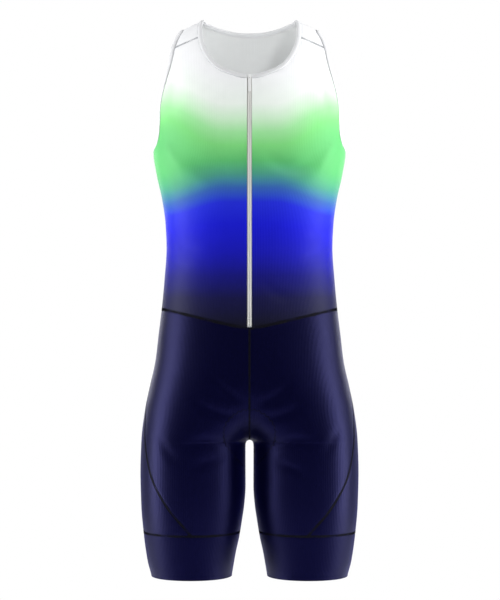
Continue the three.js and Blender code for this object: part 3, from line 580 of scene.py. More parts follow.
def knit_print(name):
    """Sublimation-printed polyester knit: bright where it is printed light, satin at its sides."""
    material, tree, shader = new_material(
        name, Roughness=0.5, Specular_IOR_Level=0.14, Sheen_Weight=0.05, Sheen_Roughness=0.3,
        Sheen_Tint=linear("#e0e4ff"),
    )
    spot = add_node(tree, "ShaderNodeTexCoord", out="Object")
    spot = add_node(tree, "ShaderNodeVectorMath", {0: spot, "Scale": 1 / MM}, operation="SCALE")
    height = part_of(tree, spot, "Z")
    ways = {"x": math_node(tree, "ABSOLUTE", part_of(tree, spot, "X")), "height": height}
    shift = 1.0
    for way, start, end, first, second in SIDE_SHIFT:
        ends = {"Value": ways[way], "From Min": start, "From Max": end, "To Min": first, "To Max": second}
        eased = add_node(tree, "ShaderNodeMapRange", ends, interpolation_type="SMOOTHSTEP")
        shift = math_node(tree, "MULTIPLY", eased, shift)
    moved = math_node(tree, "ADD", shift, height)
    top, bottom = PRINT[0][0], PRINT[-1][0]
    share = add_node(tree, "ShaderNodeMapRange", {"Value": moved, "From Min": top, "From Max": bottom})
    fade = add_node(tree, "ShaderNodeValToRGB", {0: share})
    stops = fade.node.color_ramp.elements
    while len(stops) < len(PRINT):
        stops.new(0.5)
    for stop, (level, colour) in zip(stops, PRINT):
        stop.position = (level - top) / (bottom - top)
        stop.color = linear(colour)
    # The print lies on the outer face. The knit's inner face is painted a grey white, darker than the yarn's
    # own white: painted shade for the inside of the suit.
    cut = add_node(tree, "ShaderNodeAttribute", out="Vector", attribute_name="cut")
    sides = {"Factor": part_of(tree, cut, "Z"), COLOUR_A: fade, COLOUR_B: linear("#d4d6d6")}
    print_and_painted_inside_shade = add_node(tree, "ShaderNodeMix", sides, COLOUR_OUT, data_type="RGBA")
    knitted(tree, shader, cut, print_and_painted_inside_shade, 0.97, 1.03)
    return material


def dyed_knit(name, colour, roughness, specular):
    """A navy knit: dark, with a blue satin light at its sides."""
    material, tree, shader = new_material(
        name, Roughness=roughness, Sheen_Weight=0.16, Sheen_Roughness=0.4, Sheen_Tint=linear("#5557ff"),
        Specular_IOR_Level=specular, Specular_Tint=linear("#7474ff"),
    )
    cut = add_node(tree, "ShaderNodeAttribute", out="Vector", attribute_name="cut")
    knitted(tree, shader, cut, linear(colour), 0.85, 1.15)
    return material


def plain_material(name, colour, grain, size, **more):
    """One colour with a fine uneven grain in its surface, grain deep and size across."""
    material, tree, shader = new_material(name, Base_Color=linear(colour), **more)
    spot = add_node(tree, "ShaderNodeTexCoord", out="Object")
    noise = add_node(tree, "ShaderNodeTexNoise", {"Vector": spot, "Scale": 1 / (size * MM), "Detail": 4.0})
    grained(tree, shader, noise, 0.4, grain)
    return material


# Sublimated polyester knit of the torso, satin.
PRINTED_KNIT = knit_print("printed_polyester_knit")
# Heavier polyamide and elastane knit of the shorts, dyed navy.
NAVY_KNIT = dyed_knit("navy_polyamide_knit", "#010112", 0.38, 0.27)
# The leg bands' elastic knit is the same navy, a little flatter.
BAND_KNIT = dyed_knit("navy_band_knit", "#020218", 0.45, 0.22)
# Ribbed elastic binding, light grey and dull.
BINDING_RIB = plain_material("ribbed_elastic_binding", "#d4d5d7", 0.06, 0.6, Roughness=0.72, Sheen_Weight=0.2)
# Bulked polyester thread: near-black navy and slightly glossy.
NAVY_THREAD = plain_material(
    "navy_bulked_thread", "#020210", 0.03, 0.4, Roughness=0.6, Specular_IOR_Level=0.1
)
# Bulked polyester thread, light grey. In the bindings' seams its grey is partly thread and partly a painted
# shadow line along the groove.
GREY_THREAD = plain_material("grey_bulked_thread", "#b3b5b9", 0.03, 0.4, Roughness=0.6, Sheen_Weight=0.15)
# Woven polyester zip tape, off-white.
ZIP_TAPE = plain_material("woven_zip_tape", "#d9d9d3", 0.05, 0.5, Roughness=0.75)
# The folded tape over a wound coil, white with a dull shine.
ZIP_CHAIN = plain_material("zip_chain_weave", "#cfcfcb", 0.04, 0.45, Roughness=0.55, Sheen_Weight=0.1)
# White enamel on die-cast zinc: smooth, hard and glossy.
ENAMEL = plain_material("white_enamel_zinc", "#dcdddd", 0.008, 1.5, Roughness=0.3, Specular_IOR_Level=0.3)
# Brushed microfibre over foam, dark navy.
PAD_CLOTH = plain_material("pad_microfibre", "#0d0d24", 0.12, 0.8, Roughness=0.8, Sheen_Weight=0.5)


def put(name, data):
    """An object of this data, in the scene."""
    placed = bpy.data.objects.new(name, data)
    bpy.context.scene.collection.objects.link(placed)
    return placed


def finished(name, mesh, material, sharp):
    mesh.shade_smooth()
    mesh.set_sharp_from_angle(angle=math.radians(sharp))
    mesh.materials.append(material)
    return put(name, mesh)


def made(name, points, faces, material, sharp=50.0, cut=None):
    """A mesh object from points in millimetres. cut gives each point's place in the flat cloth, and 0 on
    the outer face or 1 on the inner one."""
    mesh = bpy.data.meshes.new(name)
    mesh.from_pydata((np.asarray(points) * MM).tolist(), [], [list(map(int, f)) for f in faces])
    mesh.update()
    if cut is not None:
        layer = mesh.attributes.new("cut", "FLOAT_VECTOR", "POINT")
        layer.data.foreach_set("vector", cut.astype(np.float32).ravel())
    return finished(name, mesh, material, sharp)


def belongs(piece, body, slot, *nodes):
    """Says which body a piece rides on, and hides the solids it stands for. slot is not used."""
    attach(piece, body)
    if nodes:
        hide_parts(*nodes)
    return piece


def piece_of(name, shape, material, slot, *nodes, sharp=50.0):
    """A piece of the suit from its points and faces."""
    return belongs(made(name, *shape, material, sharp), SUIT, slot, *nodes)


def grid_faces(rows, columns, first):
    index = first + np.arange(rows * columns).reshape(rows, columns)
    a, b, c, d = index[:-1, :-1], index[:-1, 1:], index[1:, 1:], index[1:, :-1]
    return np.stack([a, b, c, d], -1).reshape(-1, 4)


def welded(p, faces, *columns):
    """Joins points that lie together, and drops the faces that this closes."""
    keys = np.round(p / 0.01).astype(np.int64)
    _, first, back = np.unique(keys, axis=0, return_index=True, return_inverse=True)
    faces = back.ravel()[faces]
    kept = []
    for face in faces.tolist():
        face = [v for i, v in enumerate(face) if v != face[i - 1]]
        if len(face) > 2 and len(set(face)) == len(face):
            kept.append(face)
    return p[first], kept, [column[first] for column in columns]


def shell(name, patches, material, outer, inner, sharp=50.0):
    """A closed wall over patches that share their edges. outer and inner give, for each patch, how far
    its two faces lie from the patch."""
    columns, faces, count = [], [], 0
    for one, out, in_ in zip(patches, outer, inner):
        faces.append(grid_faces(*out.shape, count))
        count += out.size
        columns.append([one["p"].reshape(-1, 3), one["n"].reshape(-1, 3), one["cut"].reshape(-1, 2)])
        columns[-1].append(np.stack([np.ravel(out), np.ravel(in_)], -1))
    p, *more = (np.concatenate(column) for column in zip(*columns))
    joined, faces, (n, cut, lifts) = welded(p, np.concatenate(faces), *more)
    count = len(joined)
    used = {(face[i - 1], v): True for face in faces for i, v in enumerate(face)}
    walls = [(b, a, a + count, b + count) for a, b in used if (b, a) not in used]
    inside = [[v + count for v in reversed(face)] for face in faces]
    points = np.concatenate([joined + n * lifts[:, :1], joined + n * lifts[:, 1:]])
    place_in_cut = np.concatenate([np.insert(cut, 2, side, axis=1) for side in (0.0, 1.0)])
    return made(name, points, faces + inside + walls, material, sharp, place_in_cut)


def cloth(name, nodes, patches, reliefs, material, slot, flat):
    """A panel of knit as a thin wall, with the folds of the cloth in it."""
    lifts = [relief + fold_relief(one["p"]) for one, relief in zip(patches, reliefs)]
    piece = shell(name, patches, material, lifts, [lift - CLOTH for lift in lifts])
    belongs(piece, SUIT, slot, *nodes)
    flat = tuple(size * MM for size in flat)


def cloth_pair(name, node, one, relief, material, slot, flat):
    """The wearer's left panel, and the right one as its mirror image."""
    for side, half, lift in (("left", one, relief), ("right", mirrored(one), relief[:, ::-1])):
        cloth(f"{name}_{side}", [f"{node}_{side}"], [half], [lift], material, slot, flat)


# Lines on the suit, as points and normals in order.
def on_suit(front, w, h):
    return surface(front, w, h), normals(front, w, h)


def along_edge(front, edge, count):
    w, h = edge(span(count)).T
    return on_suit(front, w, h)


def mirror_line(line):
    return tuple(part * FLIP for part in line)


def joined_lines(*lines):
    return tuple(np.concatenate(parts) for parts in zip(*lines))


def reversed_line(line):
    return tuple(part[::-1] for part in line)


def and_back(half):
    """A half line, and back along its mirror image."""
    return joined_lines(half, reversed_line(mirror_line(half)))


def resampled(line, spacing, closed=False):
    """The line at even steps near this spacing, with its way along and its sideways direction."""
    p, n = line
    if closed:
        p, n = np.concatenate([p, p[:1]]), np.concatenate([n, n[:1]])
    keep = np.concatenate([[True], np.linalg.norm(np.diff(p, axis=0), axis=1) > 1e-6])
    p, n = p[keep], n[keep]
    s = lengths(p)
    at = span(max(2, int(round(s[-1] / spacing)))) * s[-1]
    p, n = at_lengths(at, s, p), unit(at_lengths(at, s, n))
    if closed:
        p, n, at = p[:-1], n[:-1], at[:-1]
        tangent = unit(np.roll(p, -1, axis=0) - np.roll(p, 1, axis=0))
    else:
        tangent = unit(np.gradient(p, axis=0))
    return {"p": p, "n": n, "t": tangent, "side": unit(np.cross(n, tangent)), "s": at}


def sweep(line, profile, closed, lifts=None):
    """Points and outward faces of a profile swept along a resampled line. lifts raises each corner at
    each step."""
    profile = np.array(profile, float)
    out = np.broadcast_to(profile[:, 1], (len(line["p"]), len(profile)))
    if lifts is not None:
        out = out + lifts
    points = line["p"][:, None] + profile[None, :, :1] * line["side"][:, None]
    points = points + out[..., None] * line["n"][:, None]
    rows, sides = points.shape[:2]
    i = np.arange(rows if closed else rows - 1)[:, None]
    k = np.arange(sides)[None]
    j, next_k = (i + 1) % rows, (k + 1) % sides
    faces = np.stack([i * sides + k, i * sides + next_k, j * sides + next_k, j * sides + k], -1)
    faces = [tuple(face) for face in faces.reshape(-1, 4)]
    if not closed:
        faces += [tuple(range(sides))[::-1], tuple((rows - 1) * sides + c for c in range(sides))]
    points = points.reshape(-1, 3)
    return points, facing_out(points, faces)


def facing_out(points, faces):
    """Turns the faces round where the closed shape has them pointing in."""
    fans = np.array([(face[0], *pair) for face in faces for pair in zip(face[1:], face[2:])])
    a, b, c = points[fans].swapaxes(0, 1)
    volume = (a * np.cross(b, c)).sum()
    return faces if volume > 0 else [tuple(reversed(face)) for face in faces]


def gathered(*shapes):
    """Joins shapes, each points and faces, into one."""
    points, faces, count = [], [], 0
    for shape_points, shape_faces in shapes:
        points.append(shape_points)
        faces += [tuple(v + count for v in face) for face in shape_faces]
        count += len(shape_points)
    return np.concatenate(points), faces


def stitch_shape(sides=5):
    """One stitch, a plump thread lying along +X, sunk at both ends: 1 long, 1 in radius."""
    rings = ((-0.42, 0.62, -0.35), (-0.16, 1.0, 0.12), (0.16, 1.0, 0.12), (0.42, 0.62, -0.35))
    points = [(-0.5, 0, -0.7)]
    for x, radius, lift in rings:
        for a in np.arange(sides) * 2 * math.pi / sides:
            points.append((x, radius * math.cos(a), lift + radius * math.sin(a)))
    points.append((0.5, 0, -0.7))
    starts = [1 + ring_index * sides for ring_index in range(len(rings))]
    around = [(k, (k + 1) % sides) for k in range(sides)]
    faces = [(0, 1 + n, 1 + k) for k, n in around]
    faces += [(a + k, a + n, a + sides + n, a + sides + k) for a in starts[:-1] for k, n in around]
    faces += [(starts[-1] + k, starts[-1] + n, len(points) - 1) for k, n in around]
    return np.array(points), faces


STITCH = stitch_shape()


def stitch_row(line, across, lift, pitch, radius, closed=False):
    """A row of stitches beside a line, as points and faces. A stitch fills most of its pitch."""
    at = resampled(line, pitch, closed)
    middle = at["p"] + at["side"] * across + at["n"] * lift
    shape, faces = STITCH
    points = (
        middle[:, None]
        + shape[None, :, :1] * (0.86 * pitch) * at["t"][:, None]
        + shape[None, :, 1:2] * radius * at["side"][:, None]
        + shape[None, :, 2:] * radius * at["n"][:, None]
    )
    every = [tuple(v + i * len(shape) for v in face) for i in range(len(points)) for face in faces]
    return points.reshape(-1, 3), every


def thread_tube(at, middle, radius, sides, closed=False):
    """A thin tube along middle, which lies beside a resampled line."""
    tangent = unit(np.gradient(middle, axis=0))
    tube = {"p": middle, "n": at["n"], "side": unit(np.cross(at["n"], tangent))}
    turns = np.arange(sides) * 2 * math.pi / sides
    return sweep(tube, [(radius * math.cos(a), radius * math.sin(a)) for a in turns], closed)


def looper_row(line, width, lift, pitch, radius, closed=False):
    """The thread that crosses from side to side of a coverstitch."""
    at = resampled(line, pitch / 4, closed)
    phase = np.arange(len(at["p"])) % 4
    across = np.array([0.0, 0.5, 0.0, -0.5])[phase] * width
    middle = at["p"] + at["side"] * across[:, None] + at["n"] * lift
    return thread_tube(at, middle, radius, 5, closed)


def coverstitch(name, line, material, slot, closed=False, width=SEAM["width"]):
    """A coverstitched seam: a low band of thread, its crossing loops, and two rows of needle stitches."""
    half, lift = width / 2, SEAM["lift"] - SEAM["dip"]
    at = resampled(line, 3.0, closed)
    low, edge = lift - 0.4, lift - 0.05
    profile = [(-half, low), (half, low), (half, edge), (0, lift), (-half, edge)]
    shapes = [
        sweep(at, profile, closed),
        looper_row(line, width * 0.8, lift + 0.08, SEAM["pitch"], SEAM["looper"], closed),
    ]
    for across in (-half * 0.82, half * 0.82):
        shapes.append(stitch_row(line, across, lift + 0.14, SEAM["pitch"], SEAM["needle"], closed))
    piece_of(name, gathered(*shapes), material, slot)


# Torso panels.
front_left = torso_patch("front", neck_front, armhole_front)
back_left = torso_patch("back", neck_back, armhole_back)


def zip_fold(gap):
    """The edge that is folded under beside the zip and stitched down."""
    width, lift = ZIP_FOLD["width"], ZIP_FOLD["lift"]
    raised = lift * np.clip(1 - (gap / width) ** 4, 0, 1)
    trough = -ZIP_FOLD["trough"] * bell(gap - width, 0.9)
    return raised + trough - lift * 0.6 * bell(gap, 0.5)


def front_relief(one):
    """Below the hammock line the first column lies beside the zip, and above it beside the neck."""
    relief = seam_relief(one, ["end", "bottom", "top"])
    body = slice(0, BODY_ROWS + 1)
    relief[body] += zip_fold(edge_gap(one, ["start"])[body])
    relief[BODY_ROWS + 1 :] += seam_relief(one, ["start"])[BODY_ROWS + 1 :]
    return relief


cloth_pair(
    "front_panel", "torso_front", front_left, front_relief(front_left), PRINTED_KNIT, "torso_knit",
    flat=(216.0, 490.0),
)
# The back's columns run from its side to its middle, so that its faces point out.
back_left = {key: value[:, ::-1] for key, value in back_left.items()}
back_relief = seam_relief(back_left, ["start", "bottom", "top"])
back_relief[BODY_ROWS + 1 :] += seam_relief(back_left, ["end"])[BODY_ROWS + 1 :]
cloth(
    "back_panel", ["torso_back_left", "torso_back_right"], [back_left, mirrored(back_left)],
    [back_relief, back_relief[:, ::-1]], PRINTED_KNIT, "torso_knit", flat=(430.0, 500.0),
)

# Shorts.
rows = np.arange((HIP_ROWS + THIGH_ROWS) * ROW_STEPS, -1, -1) / ROW_STEPS
seam_u = seam_of_row(rows)


def shorts_patch(start, end):
    u = mix(start[:, None], end[:, None], span(PANEL_COLUMNS)[None])
    return patch(face_of(u), w_of(u), row_z(u, rows[:, None]))


shorts_front = shorts_patch(np.zeros_like(seam_u), seam_u)
shorts_back = shorts_patch(seam_u, np.ones_like(seam_u))
for kind, one, flat, share in (
    ("front", shorts_front, (236.0, 395.0), 0.82),
    ("back", shorts_back, (352.0, 430.0), 0.8),
):
    relief = seam_relief(one, ["start", "end", "top", "bottom"])
    cloth_pair(f"shorts_{kind}_panel", f"shorts_{kind}", one, relief, NAVY_KNIT, "shorts_knit", flat)

# Leg bands: closed tubes, so the first column comes again as the last.
u, t = np.meshgrid(span(BAND_COLUMNS), span(BAND_ROWS))
band = patch(face_of(u), w_of(u), mix(HEM_Z, BAND_SEAM_Z, t))
band_relief = seam_relief(band, ["top"]) + 0.35 * bell(edge_gap(band, ["bottom"]), 2.2)
cloth_pair(
    "leg_band_cloth", "leg_band", band, band_relief, BAND_KNIT, "band_knit",
    flat=(452.0, 76.0),
)


# Bindings.
def binding(name, node, line, closed):
    """A ribbed binding along a line. Its profile's corners are how far from the panel and how far out."""
    at = resampled(line, BINDING["rib"] / 4, closed)
    width, lift, depth, gap = take(BINDING, "width", "lift", "depth", "gap")
    top = [(gap, 0.1), (gap + 0.5, lift), (gap + 1.6, lift + 0.35), (width * 0.5, lift + 0.45)]
    top += [(width - 1.4, lift + 0.3), (width - 0.35, lift - 0.35), (width, -0.6)]
    under = [(width - 0.4, -depth + 0.3), (width - 1.2, -depth), (gap + 0.4, -depth), (gap, -depth + 0.4)]
    raised = np.array([0, 0.6, 1, 1, 1, 0.8, 0.4] + [0] * len(under))
    ribs = BINDING["relief"] * np.cos(2 * math.pi * at["s"] / BINDING["rib"])
    shape = sweep(at, top + under, closed, ribs[:, None] * raised[None])
    piece = piece_of(name, shape, BINDING_RIB, "binding_rib", node, sharp=60.0)
    # Grey stitches in the groove between binding and panel: thread, and a painted shadow line along the seam.
    seam = stitch_row(line, gap / 2, -0.1, pitch=2.4, radius=0.34, closed=closed)
    piece_of(f"{name}_stitches", seam, GREY_THREAD, "binding_rib")


neck_line = and_back(
    joined_lines(along_edge(True, neck_front, 80), reversed_line(along_edge(False, neck_back, 80)))
)
armhole_line = joined_lines(
    reversed_line(along_edge(True, armhole_front, 90)), along_edge(False, armhole_back, 90)
)
binding("neck_binding_rib", "neck_binding", neck_line, False)
binding("armhole_binding_rib_left", "armhole_binding_left", armhole_line, True)
armhole_right = reversed_line(mirror_line(armhole_line))
binding("armhole_binding_rib_right", "armhole_binding_right", armhole_right, True)

# Seams.
w = span(120)
waist_front, waist_back = (on_suit(face == "front", w, waist_seam(face, w)) for face in ("front", "back"))
waist_line = and_back(joined_lines(waist_front, reversed_line(waist_back)))
coverstitch("waist_seam_stitches", waist_line, NAVY_THREAD, "shorts_knit", closed=True, width=5.8)
side_line = on_suit(seam_u < 0.5, w_of(seam_u), row_z(seam_u, rows))
band_line = on_suit(face_of(w[:-1]), w_of(w[:-1]), np.full(len(w) - 1, BAND_SEAM_Z))
inseam_line = on_suit(True, np.zeros(60), np.linspace(HEM_Z, CROTCH_Z - 2, 60))
torso_side = on_suit(True, np.ones(80), np.linspace(WAIST_SEAM_Z, ARMHOLE_FRONT[0][1], 80))
shoulder = along_edge(True, shoulder_seam(False), 24)
SEAM_PAIRS = (
    ("side_seam", side_line, NAVY_THREAD, "shorts_knit", {}),
    ("band_seam", band_line, NAVY_THREAD, "shorts_knit", {"closed": True}),
    ("inseam", inseam_line, NAVY_THREAD, "shorts_knit", {"width": 3.4}),
    ("torso_side", torso_side, PRINTED_KNIT, "torso_knit", {"width": 3.6}),
    ("shoulder_seam", shoulder, GREY_THREAD, "torso_knit", {"width": 3.6}),
)
for side, turn in (("left", tuple), ("right", mirror_line)):
    for seam, line, thread, slot, settings in SEAM_PAIRS:
        coverstitch(f"{seam}_stitches_{side}", turn(line), thread, slot, **settings)
drop = span(89) ** 0.8
front_rise, back_rise = (
    on_suit(face == "front", np.zeros_like(drop), mix(float(waist_seam(face, 0.0)) - 3, CROTCH_Z, drop))
    for face in ("front", "back")
)
rise_line = joined_lines(front_rise, reversed_line(back_rise))
coverstitch("rise_seam_stitches", rise_line, NAVY_THREAD, "shorts_knit", width=3.4)

# The centre front line from the neck's free edge down, by its length.
top_h = float(neck_front(np.array(0.0))[1])
heights = np.linspace(top_h + BINDING["width"], float(waist_seam("front", ZIP_SHARE["front"])), 200)
front_line = on_suit(True, np.zeros(200), heights)
front_s = lengths(front_line[0])


def on_front(start, end, count):
    return tuple(at_lengths(np.linspace(start, end, count), front_s, part) for part in front_line)


def zip_bar(start, end, profile, pitch, relief=None):
    """A bar along the zip. Its sideways direction is +X."""
    at = resampled(on_front(start, end, 400), pitch)
    at["side"] = np.broadcast_to([1.0, 0.0, 0.0], at["p"].shape)
    return sweep(at, profile, False, None if relief is None else relief(at["s"]))


zip_from, zip_to = TAPE["top"], front_s[-1] - ZIP_END
for side, sign in (("left", 1), ("right", -1)):
    low, high = TAPE["lift"], TAPE["lift"] + TAPE["thickness"]
    inner, outer = sign * TAPE["inner"], sign * TAPE["outer"]
    tape = [(inner, low), (outer, low), (outer, high), (inner, high)]
    shape = zip_bar(zip_from, zip_to, tape, pitch=4.0)
    piece = piece_of(f"woven_tape_{side}", shape, ZIP_TAPE, "zip_tape", f"zip_tape_{side}")


def chain_half(sign):
    inner, outer, bottom, top = take(CHAIN, "inner", "outer", "bottom", "top")
    half = [(inner, bottom), (outer, bottom), (outer, top - 0.9), (outer - 0.5, top - 0.3)]
    half += [(outer - 1.3, top - 0.05), (inner + 0.9, top), (inner + 0.3, top - 0.25), (inner, top - 0.8)]
    raised = np.array([0, 0, 0.3, 1, 1, 1, 1, 0.3])

    def weave(s):
        return CHAIN["relief"] * np.cos(2 * math.pi * s / CHAIN["pitch"])[:, None] * raised[None]

    return zip_bar(zip_from, zip_to, [(sign * x, z) for x, z in half], CHAIN["pitch"] / 4, weave)


piece_of("zip_chain", gathered(chain_half(1), chain_half(-1)), ZIP_CHAIN, "zip_coil", "zip_coil")

stop_from = zip_to - ZIP_STOP["above"]
low, high, half = ZIP_STOP["lift"], ZIP_STOP["lift"] + ZIP_STOP["thickness"], ZIP_STOP["half"]
stop = [(half, low), (half, high - 0.35), (half - 0.4, high)]
stop = [(-half, low)] + stop + [(-x, z) for x, z in stop[:0:-1]]
stop_shape = zip_bar(stop_from, stop_from + ZIP_STOP["height"], stop, pitch=0.8)
piece_of("zip_stop_bar", stop_shape, ZIP_CHAIN, "zip_coil", "zip_bottom_stop")
# The bar tack that closes the foot of the zip: threads side by side across it.
TACK = {"half": 3.6, "height": 0.4, "above": 1.6, "thread": 0.3, "pitch": 0.45, "threads": 4}
half, high = TACK["half"], TACK["height"]
thread = [(-half, 0.0), (half, 0.0), (half - 0.2, high), (0.2 - half, high)]
tack_from = zip_to - TACK["above"] + TACK["pitch"] * np.arange(TACK["threads"])
tack = [zip_bar(start, start + TACK["thread"], thread, TACK["thread"]) for start in tack_from]
piece_of("zip_foot_tack", gathered(*tack), GREY_THREAD, "zip_coil")

# The row of stitches that holds the folded edge down on each side of the zip.
beside, _ = on_front(BINDING["width"] + 1.5, zip_to, 300)
fold_seam = on_suit(True, *place(np.full(300, ZIP_HALF + ZIP_FOLD["width"]), beside[:, 2]).T)
fold_rows = [
    stitch_row(line, 0.0, -0.22, pitch=2.5, radius=0.24) for line in (fold_seam, mirror_line(fold_seam))
]
piece_of("zip_fold_stitches", gathered(*fold_rows), PRINTED_KNIT, "torso_knit")


# Slider and pull, in the slider's own frame: across, down the zip and out of the cloth.
slider_middle = (SLIDER["top"] + SLIDER["bottom"]) / 2
seat, seat_out = (part[0] for part in on_front(slider_middle, slider_middle, 1))
down = unit(np.cross([1.0, 0.0, 0.0], seat_out))
if down[2] > 0:
    down = -down
SLIDER_FRAME = Matrix(
    [[1.0, down[0], seat_out[0], seat[0]], [0.0, down[1], seat_out[1], seat[1]],
     [0.0, down[2], seat_out[2], seat[2]], [0, 0, 0, 1]]
)


def along(t):
    return t - slider_middle


def hard_piece(name, shapes, bevel, material):
    """Joins closed shapes, each an outline with a hole's outline or None, its axis, and from and to, with
    their edges rounded. An outline on the x axis is down and out, and one on the z axis is across and
    down. A hole has as many corners as the outline, and pairs with it."""
    whole = bmesh.new()
    for outline, hole, axis, low, high in shapes:
        part = bmesh.new()
        rings = [outline] if hole is None else [outline, hole]
        order = (2, 0, 1) if axis == "x" else (0, 1, 2)
        lower, upper = (
            [[part.verts.new([(*q, level)[k] for k in order]) for q in ring] for ring in rings]
            for level in (low, high)
        )
        if hole is None:
            part.faces.new(lower[0])
            part.faces.new(upper[0])
        for i in range(len(outline)):
            for a, b in zip(lower, upper):
                part.faces.new([a[i - 1], a[i], b[i], b[i - 1]])
            if hole is not None:
                for edge, eye in (lower, upper):
                    part.faces.new([edge[i - 1], edge[i], eye[i], eye[i - 1]])
        bmesh.ops.recalc_face_normals(part, faces=part.faces)
        edges = [e for e in part.edges if e.calc_face_angle() > 0.6]
        bmesh.ops.bevel(part, geom=edges, offset=bevel, segments=3, profile=0.5, affect="EDGES")
        step = bpy.data.meshes.new("step")
        part.to_mesh(step)
        whole.from_mesh(step)
        bpy.data.meshes.remove(step)
        part.free()
    whole.transform(Matrix.Scale(MM, 4) @ SLIDER_FRAME)
    mesh = bpy.data.meshes.new(name)
    whole.to_mesh(mesh)
    whole.free()
    return finished(name, mesh, material, 40)


plate_top = SLIDER["lift"] + SLIDER["plate"]
bridge_top = plate_top + BRIDGE["rise"]
half = SLIDER["half"]
top, bottom = along(SLIDER["top"]), along(SLIDER["bottom"])
shoulder_end, foot_half = top + SLIDER["shoulder"], half * SLIDER["taper"]
shield = [(-half, top), (half, top), (half, shoulder_end)]
shield += [(foot_half, bottom), (-foot_half, bottom), (-half, shoulder_end)]
up, lo = along(BRIDGE["top"]), along(BRIDGE["bottom"])
leg, cut_corner, arch_corner = take(BRIDGE, "leg", "corner", "inner_corner")
foot, arch = plate_top - BRIDGE["sunk"], bridge_top - BRIDGE["crown"]
bridge_outline = [
    (up, foot), (up, bridge_top - cut_corner), (up + cut_corner, bridge_top),
    (lo - cut_corner, bridge_top), (lo, bridge_top - cut_corner), (lo, foot),
    (lo - leg, foot), (lo - leg, arch - arch_corner), (lo - leg - arch_corner, arch),
    (up + leg + arch_corner, arch), (up + leg, arch - arch_corner), (up + leg, foot),
]
post_top, post_bottom, post_in, post_out = top + 0.2, top + SLIDER["post"], SLIDER["back"], 0.5
post = [(post_top, post_in), (post_bottom, post_in), (post_bottom, post_out), (post_top, post_out)]
slider = hard_piece(
    "slider_body",
    [
        (shield, None, "z", SLIDER["lift"], plate_top),
        (shield, None, "z", post_in, post_in + SLIDER["back_plate"]),
        (post, None, "x", -half + 0.3, half - 0.3),
        (bridge_outline, None, "x", -BRIDGE["half"], BRIDGE["half"]),
    ],
    SLIDER["bevel"],
    ENAMEL,
)
belongs(slider, SUIT, "zip_slider", "zip_slider")

pull_out = plate_top + PULL["gap"] + PULL["bar"] / 2
pivot, bar = along(PULL["pivot"]), PULL["bar"] / 2


def pull_outline():
    """The tab's outline and its eye's, with as many corners each, so that they pair up."""
    tab, eye = PULL["half"], PULL["half"] - PULL["arm"]
    shoulder, eye_end = PULL["shoulder"], PULL["shoulder"] - eye
    arc = math.pi * span(PULL["round_steps"])
    outlines = []
    for reach, foot, side, end in (
        (tab, -bar, shoulder / 2, PULL["length"] - tab),
        (eye, bar, (bar + eye_end) / 2, eye_end),
    ):
        corners = [(reach, foot), (reach, side)]
        corners += [(reach * math.cos(a), end + reach * math.sin(a)) for a in arc]
        corners += [(-reach, side), (-reach, foot)]
        outlines.append([(x, y + pivot) for x, y in corners])
    return outlines


tab_shape = (*pull_outline(), "z", pull_out - bar, pull_out + bar)
pull_piece = hard_piece("pull_tab", [tab_shape], PULL["bevel"], ENAMEL)
belongs(pull_piece, TAB, "zip_pull", "zip_pull")


# Seat pad: it reaches round the cloth from the centre line, or from a leg's inseam, to its edge.
def pad_patch(face, levels, shares):
    """The cloth at these levels and at these shares of the pad's reach round it."""
    reach = smooth(PAD_REACH, face)
    found = {"p": [], "n": [], "cut": []}
    for level in levels:
        dense, dense_n = on_suit(face == "front", np.linspace(0, 0.75, 400), np.full(400, level))
        s, at = lengths(dense), shares * float(reach(level))
        found["p"].append(at_lengths(at, s, dense))
        found["n"].append(unit(at_lengths(at, s, dense_n)))
        found["cut"].append(np.stack([at, np.full(len(at), level)], -1))
    return {key: np.array(rows) for key, rows in found.items()}


def pad_depths(one):
    """The pad's inner face: thick in the middle, thin at its edge, with sewn channels between."""
    rows, columns = one["p"].shape[:2]
    e, t = span(columns - 1)[None], span(rows - 1)[:, None]
    body = np.clip(1 - e**5, 0.12, 1) * np.clip(1 - np.abs(2 * t - 1) ** 9, 0.12, 1)
    channel = 0.55 * bell(e - 0.52, 0.035) + 0.4 * bell(e - 0.84, 0.03)
    return PAD["thickness"] * np.clip(body - channel * body, 0.1, 1)


pad_levels = np.r_[np.linspace(PAD["top"], CROTCH_Z, 36), np.linspace(CROTCH_Z, PAD["bottom"], 26)[1:]]
pad_patches, outer_lifts, inner_lifts = [], [], []
for face in ("front", "back"):
    one = pad_patch(face, pad_levels, span(PAD["columns"]))
    depths = pad_depths(one)
    if face == "front":
        one = {key: value[::-1] for key, value in one.items()}
        depths = depths[::-1]
    for half, depth in ((one, depths), (mirrored(one), depths[:, ::-1])):
        pad_patches.append(half)
        outer_lifts.append(np.full(depth.shape, -PAD["under"]))
        inner_lifts.append(-PAD["under"] - depth)
pad_piece = shell("seat_pad_foam", pad_patches, PAD_CLOTH, outer_lifts, inner_lifts, 60.0)
belongs(pad_piece, SUIT, "pad_fabric", "seat_pad")

# The zigzag stitch that holds the pad shows on the outside as its outline.
ZIGZAG = {"pitch": 9.0, "height": 3.4, "radius": 0.36, "back": (-656.0, -746.0)}
ZIGZAG_FRONT = (
    (0, -654), (13, -656), (23, -661.5), (29.6, -666.5), (34.7, -672), (38.6, -677), (41.3, -683),
    (42.6, -692), (42.3, -702), (40.3, -712), (35.5, -720), (29, -729), (20, -741), (11.5, -752),
)


def zigzag(half_line):
    """The thread over a line and its mirror image."""
    at = resampled(joined_lines(reversed_line(half_line), mirror_line(half_line)), ZIGZAG["pitch"] / 8)
    phase = np.arange(len(at["p"])) / 8
    across = (np.abs(2 * (phase % 1) - 1) - 0.5) * ZIGZAG["height"]
    middle = at["p"] + at["side"] * across[:, None] + at["n"] * 0.05
    return thread_tube(at, middle, ZIGZAG["radius"], 6)


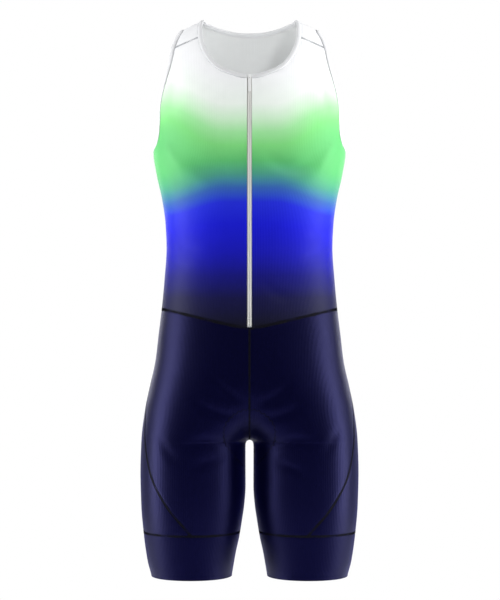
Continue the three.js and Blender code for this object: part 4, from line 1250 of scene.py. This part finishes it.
corners = span(len(ZIGZAG_FRONT) - 1)
x, z = (np.interp(span(120), corners, column) for column in zip(*ZIGZAG_FRONT))
back_edge = pad_patch("back", np.linspace(*ZIGZAG["back"], 90), np.ones(1))
outlines = [zigzag(on_suit(True, w_at(x, z), z)), zigzag((back_edge["p"][:, 0], back_edge["n"][:, 0]))]
piece_of("pad_zigzag_stitches", gathered(*outlines), NAVY_THREAD, "shorts_knit")


# Floor, light and camera. The lamps aim at the suit's middle.
SUIT_MIDDLE = Vector((0, 0, -0.47))


def area_light(name, spot, size, power):
    """A lamp at a spot and of a size in metres, with its power in watts."""
    data = bpy.data.lights.new(name, "AREA")
    data.shape = "RECTANGLE"
    data.size, data.size_y = size
    data.energy = power
    lamp = put(name, data)
    lamp.location = spot
    lamp.rotation_euler = (SUIT_MIDDLE - Vector(spot)).to_track_quat("-Z", "Y").to_euler()


for side, sign in (("left", 1), ("right", -1)):
    area_light(f"strip_{side}", (1.4 * sign, -0.2, -0.4), (0.6, 1.9), 33)
    area_light(f"back_{side}", (0.9 * sign, 1.5, 0.1), (0.8, 1.6), 7)
area_light("key", (1.3, -2.2, 1.5), (0.5, 0.5), 48)
area_light("fill", (-1.4, -2.4, 0.3), (1.6, 1.6), 2)

bpy.context.scene.view_settings.view_transform = "Standard"
world = bpy.data.worlds.new("studio")
bpy.context.scene.world = world
world.use_nodes = True
background = world.node_tree.nodes["Background"]
background.inputs["Color"].default_value = linear("#ffffff")
# The paper behind the suit is lit on its own: it looks white, and lights the suit only weakly.
AMBIENT = 0.25
seen = add_node(world.node_tree, "ShaderNodeLightPath", out="Is Camera Ray")
strength = add_node(world.node_tree, "ShaderNodeMapRange", {"Value": seen, "To Min": AMBIENT, "To Max": 1.0})
world.node_tree.links.new(strength, background.inputs["Strength"])

FLOOR_Z, FLOOR_HALF = -1.25, 1.5
floor_mesh = bpy.data.meshes.new("floor")
corners = [(x * FLOOR_HALF, y * FLOOR_HALF, FLOOR_Z) for x, y in ((-1, -1), (1, -1), (1, 1), (-1, 1))]
floor_mesh.from_pydata(corners, [], [(0, 1, 2, 3)])
# Matt white paper.
floor_mesh.materials.append(plain_material("paper_floor", "#fcfcfc", 0.05, 30.0, Roughness=0.9))
put("floor", floor_mesh)

# The photograph shows the suit straight from the front. One pixel is 1.7 mm at the suit's mid-depth.
PIXEL, DISTANCE, PICTURE_HEIGHT = 1.7, 3300.0, 600
SIGHT_X, SIGHT_Z = 0.85, -473.5
camera_data = bpy.data.cameras.new("camera")
camera_data.lens = camera_data.sensor_width * DISTANCE / (PIXEL * PICTURE_HEIGHT)
camera = put("camera", camera_data)
camera.location = Vector((SIGHT_X, -DISTANCE, SIGHT_Z)) * MM
camera.rotation_euler = (math.pi / 2, 0, 0)
bpy.context.scene.camera = camera
